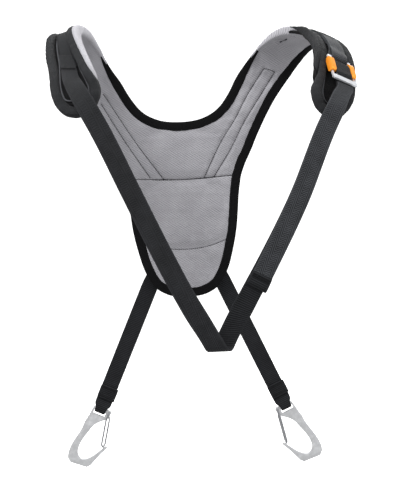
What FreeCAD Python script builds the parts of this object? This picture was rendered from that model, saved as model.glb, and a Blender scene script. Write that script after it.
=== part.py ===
import FreeCAD, Part
import Sketcher
import math
import os

# Padded shoulder straps of a climbing harness: a Y-shaped padded yoke, a webbing strap that hangs in a V
# between its two front ends with one double-back buckle, and two webbing straps that end in carabiners.
# Frame, in millimetres: +Z up, +X towards the side that carries the buckle, -Y the way the wearer faces.
# The origin is on the inner, skin-side face of the back panel, on its centre line, at its upper seam.

os.makedirs("parts", exist_ok=True)
doc = FreeCAD.newDocument("harness_shoulder_straps")
V = FreeCAD.Vector

DIMENSIONS = [
    ("lining_thick", 1.2, "knitted lining against the wearer"),
    ("foam_thick", 8.0, "foam of the back panel"),
    ("arm_foam_thick", 5.6, "foam of the arms under the webbing"),
    ("shell_thick", 1.0, "woven shell on the outside"),
    ("layer_gap", 0.2, "clearance between the soft layers"),
    ("edge_band", 14.0, "width of the binding along an edge"),
    ("edge_thick", 4.5, "pinched edge of the back panel"),
    ("arm_edge_thick", 8.2, "bound edge of an arm"),
    ("roll_top", 12.5, "height of the rolled edges of the arms"),
    ("neck_roll_width", 4.8, "lining rolled over the neck side of an arm"),
    ("web_width", 25.0, "webbing"),
    ("web_thick", 1.8, "webbing"),
    ("panel_drop", 176.0, "back panel below its upper seam"),
    ("upper_seam", 2.0, "height of the upper seam"),
    ("lower_seam", 104.0, "depth of the lower seam on the centre line"),
    ("left_strap_length", 195.0, "back strap from its bend to the carabiner bar"),
    ("right_strap_length", 208.0, "back strap from its bend to the carabiner bar"),
    ("strap_angle", 24.2, "lean of the back straps off the vertical"),
    ("overlap_length", 22.0, "sewn overlap of a webbing loop"),
    ("eye_width", 17.0, "webbing loop where it is gathered in an eye"),
    ("plate_thick", 6.0, "carabiner body"),
    ("eye_gap", 18.6, "eye of a carabiner, across"),
    ("eye_height", 6.2, "eye of a carabiner, along"),
    ("pin_bore", 2.5, "hole for the ends of a gate wire"),
    ("gate_wire", 2.4, "gate wire"),
    ("gate_half_span", 4.4, "gate wires either side of the body"),
    ("frame_width", 36.4, "buckle frame, outside"),
    ("frame_length", 42.0, "between the two end bars of the frame"),
    ("frame_thick", 2.6, "buckle frame plate"),
    ("window_width", 31.2, "window of the frame"),
    ("top_bar", 3.6, "round bar that the anchor loop holds"),
    ("low_bar_lift", 2.0, "lower bar of the frame stands proud"),
    ("low_bar_width", 7.0, "lower bar of the frame"),
    ("slider_length", 21.0, "centre bar of the buckle along the strap"),
    ("slider_width", 25.6, "centre bar between its cheeks"),
    ("slider_thick", 2.8, "centre bar plate"),
    ("cheek_thick", 6.9, "end cheeks of the centre bar, which run on the side rails"),
    ("cheek_height", 9.0, "end cheeks of the centre bar"),
    ("cheek_length", 27.5, "end cheeks of the centre bar"),
    ("rail_play", 0.3, "clearance of a cheek round its rail"),
    ("tail_stop_length", 16.0, "folded stop sewn at the end of the tail"),
    ("tail_stop_thick", 3.4, "folded stop sewn at the end of the tail"),
]

sheet = doc.addObject("Spreadsheet::Sheet", "sheet")
for row, (alias, value, note) in enumerate(DIMENSIONS, start=1):
    sheet.set("A%d" % row, str(value))
    sheet.setAlias("A%d" % row, alias)
    sheet.set("B%d" % row, note)
doc.recompute()


def size(alias):
    return float(sheet.get(alias))


NODES = []


def keep(obj, label):
    obj.Label = label
    NODES.append(obj)
    return obj


def feature(label, shape):
    obj = doc.addObject("Part::Feature", label)
    obj.Shape = shape
    obj.Placement = FreeCAD.Placement()
    return keep(obj, label)


# ---------------------------------------------------------------- ribbons
# A ribbon is a solid between two edge curves. Each cut of it is (edge point, other edge point, outward
# unit normal, inner height, outer height), and the solid is lofted through the cuts.

def cut_wire(cut):
    first, second, normal, low, high = cut
    corners = [first + normal * low, second + normal * low, second + normal * high, first + normal * high]
    return Part.makePolygon(corners + [corners[0]])


def ribbon(cuts):
    return Part.makeLoft([cut_wire(cut) for cut in cuts], True, True)


def strip(line, width, thick):
    # line holds (centre, width direction, normal); the width may differ along it
    cuts = []
    for entry in line:
        centre, across, normal = entry[:3]
        half = (entry[3] if len(entry) > 3 else width) / 2.0
        cuts.append((centre - across * half, centre + across * half, normal, -thick / 2.0, thick / 2.0))
    return ribbon(cuts)


def unit(vector):
    copy = V(vector)
    copy.normalize()
    return copy


def mix(first, second, part):
    return first * (1.0 - part) + second * part


def level(at, steps):
    # value of a line through (station, value) steps
    if at <= steps[0][0]:
        return steps[0][1]
    for (left, low), (right, high) in zip(steps, steps[1:]):
        if at <= right:
            return low + (high - low) * (at - left) / (right - left)
    return steps[-1][1]


# ---------------------------------------------------------------- the yoke's two halves
# Each station is (neck-side edge point, outer edge point) of the skin-side face. The first three lie on the
# centre line of the back, the next ones climb the neck curve, and from the eighth the arm curls forward
# over the shoulder and down to its front tab.

BUCKLE_SIDE = [
    ((0, 0, 2.2), (88, 0, 2.2)),
    ((0, 0, 50), (95, 0, 21)),
    ((0, 0, 88.5), (106, 0, 43)),
    ((32, 0, 93), (114, 0, 61)),
    ((55, 0, 105), (124, 0, 81)),
    ((75, 0, 130), (137, 0, 105)),
    ((88, 0, 154), (147, 0, 121)),
    ((100, -2, 170), (158, 0, 136)),
    ((112, -9, 183), (170, -1, 151)),
    ((124, -20, 193), (182, -4, 165)),
    ((135, -34, 198), (193, -12, 176)),
    ((146, -50, 199), (203, -25, 183)),
    ((157, -67, 197), (214, -41, 184)),
    ((167, -84, 191), (223, -60, 177)),
    ((174, -101, 184), (230, -81, 166)),
    ((179, -119, 174), (235, -101, 151)),
    ((181, -140, 160), (236, -120, 133)),
    ((180, -160, 142), (234, -137, 115)),
    ((175, -178, 120), (231, -152, 100)),
    ((170, -193, 100), (228, -165, 87)),
    ((167, -205, 82), (224, -176, 74)),
    ((170, -213, 66), (216, -188, 61)),
    ((180, -219, 52), (203, -201, 51)),
]

PLAIN_SIDE = [
    ((0, 0, 2.2), (-88, 0, 2.2)),
    ((0, 0, 50), (-95, 0, 21)),
    ((0, 0, 88.5), (-106, 0, 43)),
    ((-32, 0, 93), (-114, 0, 61)),
    ((-55, 0, 105), (-124, 0, 81)),
    ((-75, 0, 130), (-137, 0, 105)),
    ((-88, 0, 154), (-147, 0, 121)),
    ((-99, -2, 170), (-157, 0, 136)),
    ((-107, -9, 183), (-166, -1, 151)),
    ((-113, -21, 195), (-173, -6, 167)),
    ((-118, -37, 203), (-177, -15, 181)),
    ((-122, -56, 206), (-179, -27, 192)),
    ((-126, -76, 206), (-180, -41, 198)),
    ((-128, -96, 202), (-178, -55, 200)),
    ((-127, -114, 193), (-176, -70, 196)),
    ((-123, -131, 180), (-174, -86, 187)),
    ((-117, -147, 164), (-172, -103, 174)),
    ((-110, -163, 146), (-169, -122, 158)),
    ((-103, -179, 128), (-165, -144, 139)),
    ((-96, -194, 111), (-162, -167, 119)),
    ((-92, -206, 97), (-158, -185, 98)),
    ((-95, -216, 81), (-151, -199, 80)),
    ((-106, -223, 65), (-136, -211, 65)),
]


def between(before, left, right, after):
    return (left * 9.0 + right * 9.0 - before - after) * (1.0 / 16.0)


def double(points, ghosts):
    # adds a point halfway along each span; ghosts gives the point before a span where a curve starts anew
    full = [points[0]]
    for index in range(len(points) - 1):
        left = points[index]
        right = points[index + 1]
        before = ghosts.get(index, points[max(index - 1, 0)])
        after = points[min(index + 2, len(points) - 1)]
        middle = mix(left, right, 0.5) if index < 2 and ghosts else between(before, left, right, after)
        full.append(middle)
        full.append(right)
    return full


class Half:
    """One half of the yoke: its edges, directions and heights, at half-station steps."""

    def __init__(self, stations, side):
        neck = [V(*pair[0]) for pair in stations]
        outer = [V(*pair[1]) for pair in stations]
        mirror = V(-neck[3].x, neck[3].y, neck[3].z)
        self.neck = double(neck, {2: mirror})
        self.outer = double(outer, {})
        self.count = len(self.neck)
        self.normal = []
        self.from_neck = []
        self.from_outer = []
        for index in range(self.count):
            low = max(index - 2, 0)
            high = min(index + 2, self.count - 1)
            along = (self.neck[high] + self.outer[high]) - (self.neck[low] + self.outer[low])
            across = self.outer[index] - self.neck[index]
            normal = along.cross(across) * side
            if index <= 12:
                normal = V(0, 1, 0)
            self.normal.append(unit(normal))
        for index in range(self.count):
            low = max(index - 1, 0)
            high = min(index + 1, self.count - 1)
            neck_way = self.neck[high] - self.neck[low]
            if index == 4:
                neck_way = V(1, 0, 0) * side
            outer_way = self.outer[high] - self.outer[low]
            across = self.outer[index] - self.neck[index]
            inward = self.normal[index].cross(neck_way)
            if inward.dot(across) < 0:
                inward = inward * -1.0
            if index < 4:
                inward = across
            self.from_neck.append(self.inset_way(index, inward, across, neck_way))
            inward = self.normal[index].cross(outer_way)
            if inward.dot(across) > 0:
                inward = inward * -1.0
            self.from_outer.append(self.inset_way(index, inward, across * -1.0, outer_way))

    def inset_way(self, index, inward, across, edge_way):
        # square to the edge where the yoke is flat; straight across the arm, and longer, where it curls
        if index < 12:
            return unit(inward)
        way = unit(across)
        return way * (1.0 / way.cross(unit(edge_way)).Length)

    def width(self, index):
        return (self.outer[index] - self.neck[index]).Length

    def cuts(self, first, last, neck_inset, outer_inset, low, high):
        result = []
        for index in range(int(first * 2), int(last * 2) + 1):
            at = index / 2.0
            start = self.neck[index] + self.from_neck[index] * neck_inset(at)
            end = self.outer[index] + self.from_outer[index] * outer_inset(at)
            result.append((start, end, self.normal[index], low(at), high(at)))
        return result

    def neck_band(self, first, last, start, end, low, high):
        result = []
        for index in range(int(first * 2), int(last * 2) + 1):
            at = index / 2.0
            near = self.neck[index] + self.from_neck[index] * start(at)
            far = self.neck[index] + self.from_neck[index] * end(at)
            result.append((near, far, self.normal[index], low(at), high(at)))
        return result

    def outer_band(self, first, last, start, end, low, high):
        result = []
        for index in range(int(first * 2), int(last * 2) + 1):
            at = index / 2.0
            near = self.outer[index] + self.from_outer[index] * start(at)
            far = self.outer[index] + self.from_outer[index] * end(at)
            result.append((near, far, self.normal[index], low(at), high(at)))
        return result

    def centre(self, at, height, shift=0.0):
        index = int(round(at * 2))
        across = unit(self.outer[index] - self.neck[index])
        middle = mix(self.neck[index], self.outer[index], 0.5) + across * shift
        return middle + self.normal[index] * height, across, self.normal[index]


right_half = Half(BUCKLE_SIDE, 1.0)
left_half = Half(PLAIN_SIDE, -1.0)

GAP = size("layer_gap")
BAND = size("edge_band")
ROLL = size("neck_roll_width")
LINING_TOP = size("lining_thick")
FOAM_LOW = LINING_TOP + GAP
PANEL_FOAM_TOP = FOAM_LOW + size("foam_thick")
ARM_FOAM_TOP = FOAM_LOW + size("arm_foam_thick")
WEB = size("web_width")
WEB_THICK = size("web_thick")
TAB_START = 19.0
ARM_END = 22.0


def foam_top(at):
    return level(at, [(6.5, PANEL_FOAM_TOP), (10.0, ARM_FOAM_TOP)])


def neck_inset(at):
    # nothing on the centre line, the binding along the neck, then the rolled lining, then the tab's binding
    if at < 1.6:
        return 0.0
    if at < 2.0:
        return BAND * 0.5
    return level(at, [(6.5, BAND + GAP), (8.5, ROLL + GAP), (18.5, ROLL + GAP), (20.0, BAND + GAP)])


def outer_inset(at):
    return BAND + GAP


def edge_top(at):
    return level(at, [(6.5, size("edge_thick")), (9.0, size("arm_edge_thick"))])


def roll_top(at):
    full = size("roll_top")
    return level(at, [(8.0, size("arm_edge_thick") + 0.8), (10.5, full), (20.5, full), (22.0, full - 2.5)])


def constant(value):
    return lambda at: value


def both_sides(first, last, neck_side, outer_side, low, high):
    halves = []
    for half in (right_half, left_half):
        halves.append(ribbon(half.cuts(first, last, neck_side, outer_side, low, high)))
    return halves[0].fuse(halves[1]).removeSplitter()


SOFT_END = 21.0

feature("upper_lining", both_sides(
    0, SOFT_END, neck_inset, outer_inset, constant(0.0), constant(LINING_TOP)))
feature("upper_foam", both_sides(
    0, SOFT_END, neck_inset, outer_inset, constant(FOAM_LOW), foam_top))
feature("upper_shell", both_sides(
    0, SOFT_END, neck_inset, outer_inset,
    lambda at: foam_top(at) + GAP, lambda at: foam_top(at) + GAP + size("shell_thick")))

# Binding along the neck, from where it runs out on one arm to where it runs out on the other.
neck_cuts = []
for cut in reversed(left_half.neck_band(
        2, 8, constant(0.0), lambda at: neck_inset(at) - GAP, constant(-0.3), edge_top)):
    neck_cuts.append(cut)
for cut in right_half.neck_band(
        2.5, 8, constant(0.0), lambda at: neck_inset(at) - GAP, constant(-0.3), edge_top):
    neck_cuts.append(cut)
feature("neck_binding", ribbon(neck_cuts))


def end_width(half, at, ways, usual=BAND):
    # near the tab's end the two bindings widen until they meet
    index = int(round(at * 2))
    if at <= SOFT_END:
        return usual
    return (half.width(index) / 2.0 - GAP) / ways[index].Length


for name, half in (("left", left_half), ("right", right_half)):
    feature(name + "_side_binding", ribbon(half.outer_band(
        0, ARM_END, constant(0.0), lambda at, half=half: end_width(half, at, half.from_outer),
        constant(-0.3), edge_top)))
    feature(name + "_tab_binding", ribbon(half.neck_band(
        TAB_START, ARM_END, constant(0.0),
        lambda at, half=half: end_width(half, at, half.from_neck, min(neck_inset(at) - GAP, BAND)),
        constant(-0.3), edge_top)))
    feature(name + "_neck_roll", ribbon(half.neck_band(
        8.5, TAB_START - 0.5, constant(0.0), constant(ROLL), constant(0.0), roll_top)))
    feature(name + "_outer_roll", ribbon(half.outer_band(
        8.5, ARM_END, constant(0.0), lambda at, half=half: end_width(half, at, half.from_outer, BAND - 1.5),
        lambda at: edge_top(at) + GAP, lambda at: roll_top(at) + GAP)))
    feature(name + "_inner_roll", ribbon(half.neck_band(
        8.5, ARM_END, lambda at: level(at, [(18.5, ROLL + GAP), (19.5, 0.0)]),
        lambda at, half=half: end_width(
            half, at, half.from_neck, level(at, [(18.5, 15.6), (20.0, BAND)])),
        lambda at: max(edge_top(at), foam_top(at) + GAP + size("shell_thick")) + GAP,
        lambda at: roll_top(at) + GAP)))


# ---------------------------------------------------------------- lower back panel
# Half outline of the panel, from the upper seam down to the middle of its rounded foot.
PANEL_EDGE = [(88, 0), (84.5, -20), (82, -45), (79, -72), (71.5, -108), (62, -138), (48, -161), (28, -173)]


def xz_sketch(body, name):
    sketch = body.newObject("Sketcher::SketchObject", name)
    plane = [item for item in body.Origin.OriginFeatures if item.Role == "XZ_Plane"][0]
    sketch.AttachmentSupport = [(plane, "")]
    sketch.MapMode = "FlatFace"
    return sketch


def spline(points):
    curve = Part.BSplineCurve()
    curve.interpolate([V(x, z, 0) for x, z in points])
    return curve


def segment(first, second):
    return Part.LineSegment(V(first[0], first[1], 0), V(second[0], second[1], 0))


def inset_edge(points, depth):
    # the panel's edge, moved towards its middle by depth
    moved = []
    for index, (x, z) in enumerate(points):
        left = points[max(index - 1, 0)]
        right = points[min(index + 1, len(points) - 1)]
        run = V(right[0] - left[0], right[1] - left[1], 0)
        run.normalize()
        moved.append((x + run.y * depth, z - run.x * depth))
    return moved


def whole_edge(depth):
    side = inset_edge(PANEL_EDGE, depth)
    foot = (0.0, -size("panel_drop") + depth)
    other = [(-x, z) for x, z in reversed(side)]
    return side + [foot] + other


def cross_at(points, height):
    # where the side of an outline passes a height
    for (x1, z1), (x2, z2) in zip(points, points[1:]):
        if z2 <= height <= z1:
            return x1 + (x2 - x1) * (z1 - height) / (z1 - z2)
    return points[-1][0]


def padded_body(label, geometry, start, thick_alias):
    body = doc.addObject("PartDesign::Body", label)
    sketch = xz_sketch(body, label + "_outline")
    for item in geometry:
        sketch.addGeometry(item, False)
    pad = body.newObject("PartDesign::Pad", label + "_pad")
    pad.Profile = sketch
    pad.setExpression("Length", "sheet." + thick_alias)
    pad.Reversed = True
    body.setExpression(".Placement.Base.y", start)
    return keep(body, label)


SEAM_GAP = 0.4
SEAM_TOP = size("upper_seam") - 0.2
inner = inset_edge(PANEL_EDGE, BAND + GAP)
seam_z = -size("lower_seam")
seam_rise = 14.0
upper_points = [point for point in inner if point[1] > seam_z + seam_rise + 3]
lower_points = [point for point in inner if point[1] < seam_z + seam_rise - 3]
seam_x = cross_at(inner, seam_z + seam_rise)
first_x = cross_at([(inner[0][0], 5.0)] + inner, SEAM_TOP)

# between the two seams
mid_right = [(first_x, SEAM_TOP)] + upper_points[1:] + [(seam_x, seam_z + seam_rise + SEAM_GAP)]
mid_left = [(-x, z) for x, z in reversed(mid_right)]
mid_seam = [mid_right[-1], (0.0, seam_z + SEAM_GAP), mid_left[0]]
mid_outline = [spline(mid_right), spline(mid_seam), spline(mid_left), segment(mid_left[-1], mid_right[0])]

# below the lower seam
low_right = [(seam_x, seam_z + seam_rise)] + lower_points
low_foot = (0.0, -size("panel_drop") + BAND + GAP)
low_edge = low_right + [low_foot] + [(-x, z) for x, z in reversed(low_right)]
low_seam = [low_edge[-1], (0.0, seam_z), low_edge[0]]
low_outline = [spline(low_edge), spline(low_seam)]

padded_body("mid_lining", mid_outline, "0 mm", "lining_thick")
padded_body("low_lining", low_outline, "0 mm", "lining_thick")
padded_body("mid_foam", mid_outline, "sheet.lining_thick * 1 mm + sheet.layer_gap * 1 mm", "foam_thick")
padded_body("low_foam", low_outline, "sheet.lining_thick * 1 mm + sheet.layer_gap * 1 mm", "foam_thick")

shell_edge = inset_edge(PANEL_EDGE, BAND + GAP)
shell_edge = [(first_x, SEAM_TOP)] + shell_edge[1:]
shell_line = shell_edge + [low_foot] + [(-x, z) for x, z in reversed(shell_edge)]
padded_body(
    "lower_shell", [spline(shell_line), segment(shell_line[-1], shell_line[0])],
    "(sheet.lining_thick + sheet.foam_thick + 2 * sheet.layer_gap) * 1 mm", "shell_thick")

outside = whole_edge(0.0)
outside[0] = (88.0, SEAM_TOP)
outside[-1] = (-88.0, SEAM_TOP)
inside = whole_edge(BAND)
inside[0] = (cross_at([(inside[0][0], 5.0)] + inside, SEAM_TOP), SEAM_TOP)
inside[-1] = (-inside[0][0], SEAM_TOP)
padded_body(
    "base_binding",
    [spline(outside), segment(outside[-1], inside[-1]), spline(inside), segment(inside[0], outside[0])],
    "0 mm", "edge_thick")


# ---------------------------------------------------------------- webbing sewn on the outside
# Each shoulder web starts beside the foot of the panel, crosses the back and climbs the other arm.
FLAT = PANEL_FOAM_TOP + GAP + size("shell_thick") + GAP + WEB_THICK / 2.0
LEAN = math.radians(size("strap_angle"))
BENDS = {"left": V(-60.8, FLAT, -165.3), "right": V(56.3, FLAT, -159.3)}


def web_line(half, side, bend, lift, last):
    # side is +1 for the web of the buckle-side shoulder, whose foot is on the other side
    points = [
        (bend, 0.0),
        (V(-28 * side, FLAT, -111), lift * 0.5),
        (V(-2 * side, FLAT, -66), lift),
        (V(20 * side, FLAT, -30), lift),
        (V(40 * side, FLAT, 3), lift * 0.5),
        (V(63 * side, FLAT, 41), 0.0),
        (V(86 * side, FLAT, 80), 0.0),
    ]
    line = []
    for index, (point, raised) in enumerate(points):
        if index == 0:
            run = points[1][0] - points[0][0]
        elif index + 1 < len(points):
            run = points[index + 1][0] - points[index - 1][0]
        else:
            run = half.centre(5, 0)[0] - points[index - 1][0]
            run.y = 0
        across = unit(V(run.z, 0, -run.x)) * side
        line.append((point + V(0, raised, 0), across, V(0, 1, 0)))
    for step in range(10, int(last * 2) + 1):
        at = step / 2.0
        height = foam_top(at) + 2 * GAP + size("shell_thick") + WEB_THICK / 2.0
        line.append(half.centre(at, height, level(at, [(8.0, 0.0), (10.0, 1.4 + 0.2 * side)])))
    return line


feature("right_shoulder_web", strip(
    web_line(right_half, 1.0, BENDS["left"] + V(1.5, 0, 3.2), 0.0, 15.5), WEB, WEB_THICK))
feature("left_shoulder_web", strip(
    web_line(left_half, -1.0, BENDS["right"] + V(-1.5, 0, 3.2), 2.4, 18.0), WEB, WEB_THICK))


# ---------------------------------------------------------------- buckle axes
# along points down the strap, across points away from the neck, out points away from the wearer.
TOP_BAR = V(213, -165, 134)
along = unit(V(2, -25, -33.6))
across = V(0.85, 0.43, -0.30)
across = unit(across - along * across.dot(along))
out = across.cross(along * -1.0)


def buckle_point(down, lift):
    return TOP_BAR + along * down + out * lift


def turn(down, radius, first, last, steps):
    # part of a round turn about a bar; 0 degrees is outward, 90 degrees is down the strap
    line = []
    for step in range(steps + 1):
        angle = math.radians(first + (last - first) * step / steps)
        way = out * math.cos(angle) + along * math.sin(angle)
        line.append((TOP_BAR + along * down + way * radius, across, way))
    return line


# ---------------------------------------------------------------- anchor loop of the buckle
loop_radius = size("top_bar") / 2.0 + 0.35 + WEB_THICK / 2.0
anchor = []
for at in (13.0, 13.5, 14.0, 14.5, 15.0, 15.5, 16.0):
    centre, side, normal = right_half.centre(at, foam_top(at) + 3 * GAP + 1.0 + WEB_THICK * 1.5, 1.5)
    anchor.append((centre, side, normal))
turned = []
for centre, side, normal in turn(0.0, loop_radius, 180.0, 0.0, 8):
    turned.append((centre, side, normal * -1.0))
anchor += turned
for at in (16.0, 15.5, 15.0, 14.5, 14.0, 13.5, 13.0):
    centre, side, normal = right_half.centre(at, foam_top(at) + 4 * GAP + 1.0 + WEB_THICK * 2.5, 1.5)
    anchor.append((centre, side, normal * -1.0))
feature("anchor_loop", strip(anchor, WEB, WEB_THICK))

# ---------------------------------------------------------------- load strap
# Down from the plain arm's tab to the V, round a soft fold, and up to the buckle. Through the fold the cuts
# stay level, so the strap leaves it leaning the other way.
FRONT = V(0, -1, 0)
load = []
for at in (17.0, 17.5, 18.0, 18.5, 19.0):
    rise = level(at, [(17.0, 3 * GAP), (18.0, 3 * GAP), (19.0, 2.2)])
    load.append(left_half.centre(at, foam_top(at) + rise + 1.0 + WEB_THICK * 1.5, 3.0))


def free_cut(point, side, normal):
    side = unit(side)
    normal = unit(normal - side * normal.dot(side))
    return (point, side, normal)


load.append(free_cut(V(-126.5, -212.5, 106), V(-0.92, 0.30, -0.20), V(-0.16, -0.84, 0.50)))
load.append(free_cut(V(-114.5, -231.5, 84), V(-0.90, 0.16, -0.40), V(-0.10, -0.96, 0.20)))
load.append(free_cut(V(-94, -240.5, 45), V(-0.90, 0.05, -0.43), FRONT))
load.append(free_cut(V(-60, -246, -30), V(-0.905, 0, -0.425), FRONT))
load.append(free_cut(V(-26.5, -250.5, -104), V(-0.905, 0, -0.425), FRONT))
load.append(free_cut(V(3, -252.5, -165), V(-0.905, 0, -0.425), FRONT))
LEVEL_CUT = WEB / math.cos(math.radians(25.5))
FOLD = 8.0
for step in range(9):
    swing = math.pi * step / 8
    centre = V(34 + 12.7 * step / 8, -245 - FOLD * math.cos(swing), -221 - FOLD * math.sin(swing))
    load.append((centre, V(-1, 0, 0), V(0, -math.cos(swing), -math.sin(swing)), LEVEL_CUT))
BACK = V(0, 1, 0)
load.append(free_cut(V(78.5, -239.5, -165), V(-0.87, -0.03, 0.49), BACK))
load.append(free_cut(V(101, -240.5, -127), V(-0.87, -0.06, 0.49), BACK))
load.append(free_cut(V(143, -238, -51), V(-0.88, -0.12, 0.45), V(0.05, 1, 0)))
load.append(free_cut(V(186, -228, 43), V(-0.87, -0.22, 0.44), V(-0.10, 0.95, -0.1)))
load.append(free_cut(V(195.5, -223.5, 60), V(-0.86, -0.30, 0.42), V(-0.25, 0.85, -0.3)))
load.append(free_cut(V(206.5, -207.5, 80), V(-0.855, -0.40, 0.33), V(-0.45, 0.72, -0.5)))
for down in (49.0, 44.0, 36.0, 24.0, 13.0):
    load.append((buckle_point(down, -2.6), across * -1.0, out * -1.0))
SLIDER_TOP = 9.0
wrap_centre = SLIDER_TOP + size("slider_thick") / 2.0
wrap_radius = size("slider_thick") / 2.0 + 0.3 + WEB_THICK / 2.0
for centre, side, way in turn(wrap_centre, wrap_radius, 180.0, 360.0, 8):
    load.append((centre, side * -1.0, way))
for down, lift in ((24.0, 2.6), (32.5, 2.6)):
    load.append((buckle_point(down, lift), across * -1.0, out))
load.append((buckle_point(35.3, 1.0), across * -1.0, unit(out * 5.0 + along * 3.2)))
for down, lift in ((38.2, -0.6), (45.4, -0.6)):
    load.append((buckle_point(down, lift), across * -1.0, out))
feature("load_strap", strip(load, WEB, WEB_THICK))

# ---------------------------------------------------------------- tail of the strap and its stop
HINGE_DOWN = 46.9
tail_axis = buckle_point(HINGE_DOWN, -0.6)
lap = WEB_THICK + 0.5
tail = [
    (buckle_point(HINGE_DOWN, -0.6), across, out),
    (buckle_point(50.0, -0.5), across, out),
    free_cut(V(206.5, -207.5, 80) + V(0.45, -0.72, 0.5) * lap, V(0.855, 0.40, -0.33), V(0.45, -0.72, 0.5)),
    free_cut(V(195.5, -223.5, 60) + V(0.25, -0.85, 0.3) * lap, V(0.86, 0.30, -0.42), V(0.25, -0.85, 0.3)),
    free_cut(V(186, -228, 43) + V(0.10, -0.95, 0.1) * lap, V(0.87, 0.22, -0.44), V(0.10, -0.95, 0.1)),
    free_cut(V(143.5, -238, -51) + FRONT * lap, V(0.88, 0.12, -0.45), V(-0.05, -1, 0)),
    free_cut(V(103, -240.5, -127) + FRONT * lap, V(0.87, 0.06, -0.49), FRONT),
    free_cut(V(95.5, -240.3, -140.5) + FRONT * lap, V(0.87, 0.05, -0.49), FRONT),
]
tail_strip = strip(tail, WEB, WEB_THICK)
tail_knuckle = Part.makeCylinder(
    WEB_THICK / 2.0, WEB, tail_axis - across * (WEB / 2.0), across)
feature("strap_tail", tail_strip.fuse(tail_knuckle).removeSplitter())

stop = doc.addObject("Part::Box", "tail_stop")
stop.setExpression("Length", "sheet.web_width * 1 mm")
stop.setExpression("Width", "sheet.tail_stop_thick * 1 mm")
stop.setExpression("Height", "sheet.tail_stop_length * 1 mm")
lean = math.degrees(math.atan2(0.49, 0.87))
stop_turn = FreeCAD.Rotation(V(0, 1, 0), lean)
stop_top = V(95.5, -240.3, -140.5) + FRONT * (lap + WEB_THICK / 2.0)
stop_corner = stop_top + stop_turn.multVec(V(-WEB / 2.0, WEB_THICK - size("tail_stop_thick"), -0.3 - 16.0))
stop.Placement = FreeCAD.Placement(stop_corner, stop_turn)
keep(stop, "tail_stop")

# ---------------------------------------------------------------- back straps and their loops
# A back strap hangs in a plane, leans outward, and ends in a loop that is gathered in the carabiner's eye.
EYE_RADIUS = 4.2 + WEB_THICK / 2.0


def back_strap(name, side):
    full = size(name + "_strap_length")
    bend = BENDS[name]
    down = V(side * math.sin(LEAN), 0, -math.cos(LEAN))
    wide = V(math.cos(LEAN), 0, side * math.sin(LEAN))
    bar = bend + down * full
    eye = size("eye_width")
    lap_start = full - 16.0 - size("overlap_length")
    line = []
    for reach, width, lift in (
            (0.0, WEB, 0.0), (lap_start - 12.0, WEB, 0.0), (lap_start, WEB, 0.0),
            (full - 16.0, WEB, 0.0), (full - 5.5, 19.0, -EYE_RADIUS)):
        line.append((bend + down * reach + V(0, lift, 0), wide, V(0, 1, 0), width))
    for step in range(9):
        swing = math.pi * step / 8
        way = V(0, -math.cos(swing), 0) + down * math.sin(swing)
        line.append((bar + way * EYE_RADIUS, wide, way * -1.0, eye))
    line.append((bend + down * (full - 5.5) + V(0, EYE_RADIUS, 0), wide, V(0, -1, 0), 19.0))
    line.append((bend + down * (full - 16.0) + V(0, 2.1, 0), wide, V(0, -1, 0), WEB))
    line.append((bend + down * (lap_start + 0.5) + V(0, 2.1, 0), wide, V(0, -1, 0), WEB))
    body = strip(line, WEB, WEB_THICK)
    knuckle = Part.makeCylinder(WEB_THICK / 2.0, WEB, bend - wide * (WEB / 2.0), wide)
    feature(name + "_back_strap", body.fuse(knuckle).removeSplitter())
    return bar, down, wide


left_bar, left_down, left_wide = back_strap("left", -1.0)
right_bar, right_down, right_wide = back_strap("right", 1.0)


def lap_patch(name, side):
    # the folded end of the loop, sewn on the side that faces the wearer
    patch = doc.addObject("Part::Box", name + "_loop_lap")
    patch.setExpression("Length", "sheet.web_width * 1 mm + 1.6 mm")
    patch.setExpression("Width", "sheet.web_thick * 1 mm")
    patch.setExpression("Height", "sheet.overlap_length * 1 mm - 3 mm")
    rotation = FreeCAD.Rotation(V(0, 1, 0), -side * size("strap_angle"))
    reach = size(name + "_strap_length") - 16.5
    down = V(side * math.sin(LEAN), 0, -math.cos(LEAN))
    corner = BENDS[name] + down * reach
    corner = corner + rotation.multVec(V(-WEB / 2.0 - 0.8, -WEB_THICK * 1.5 - 0.2, 0))
    patch.Placement = FreeCAD.Placement(corner, rotation)
    return keep(patch, name + "_loop_lap")


lap_patch("left", -1.0)
lap_patch("right", 1.0)

# ---------------------------------------------------------------- carabiners
# In its own axes a carabiner lies in XZ with the webbing bar at the origin and its gate on +X.
SPINE = [
    (-16.0, -26.0), (-17.2, -42.5), (-20.4, -57.5), (-22.0, -73.0), (-19.8, -86.0)]
BASKET = [
    (12.6, -12.0), (6.0, -17.5), (0.0, -24.5), (-5.0, -38.0), (-9.0, -53.0), (-10.2, -67.0),
    (-7.8, -75.7), (-1.0, -80.8), (8.2, -77.8), (15.1, -70.7), (22.6, -58.5)]
HEAD = [
    (-13.4, -91.3), (12.8, -89.2), (17.0, -84.6), (25.6, -61.5), (31.0, -50.6), (27.4, -49.6)]
SHOULDER = [
    (12.6, -12.0), (16.4, -5.0), (17.2, 0.0), (15.6, 2.4), (13.6, 3.2), (10.8, 2.6), (-9.6, 2.6),
    (-11.6, 0.8), (-12.3, -3.0), (-13.6, -12.0), (-12.6, -13.8), (-14.4, -15.6), (-14.0, -19.5),
    (-15.2, -21.5)]


def check_cut(before, after, wanted):
    # a cut must take away about the volume that it is meant to take
    taken = before.Shape.Volume - after.Shape.Volume
    if abs(taken - wanted) > 0.02 * wanted:
        raise RuntimeError("cut took %.2f mm3 in place of %.2f: %s" % (taken, wanted, after.Label))


def polyline(points):
    return [segment(first, second) for first, second in zip(points, points[1:])]


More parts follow.
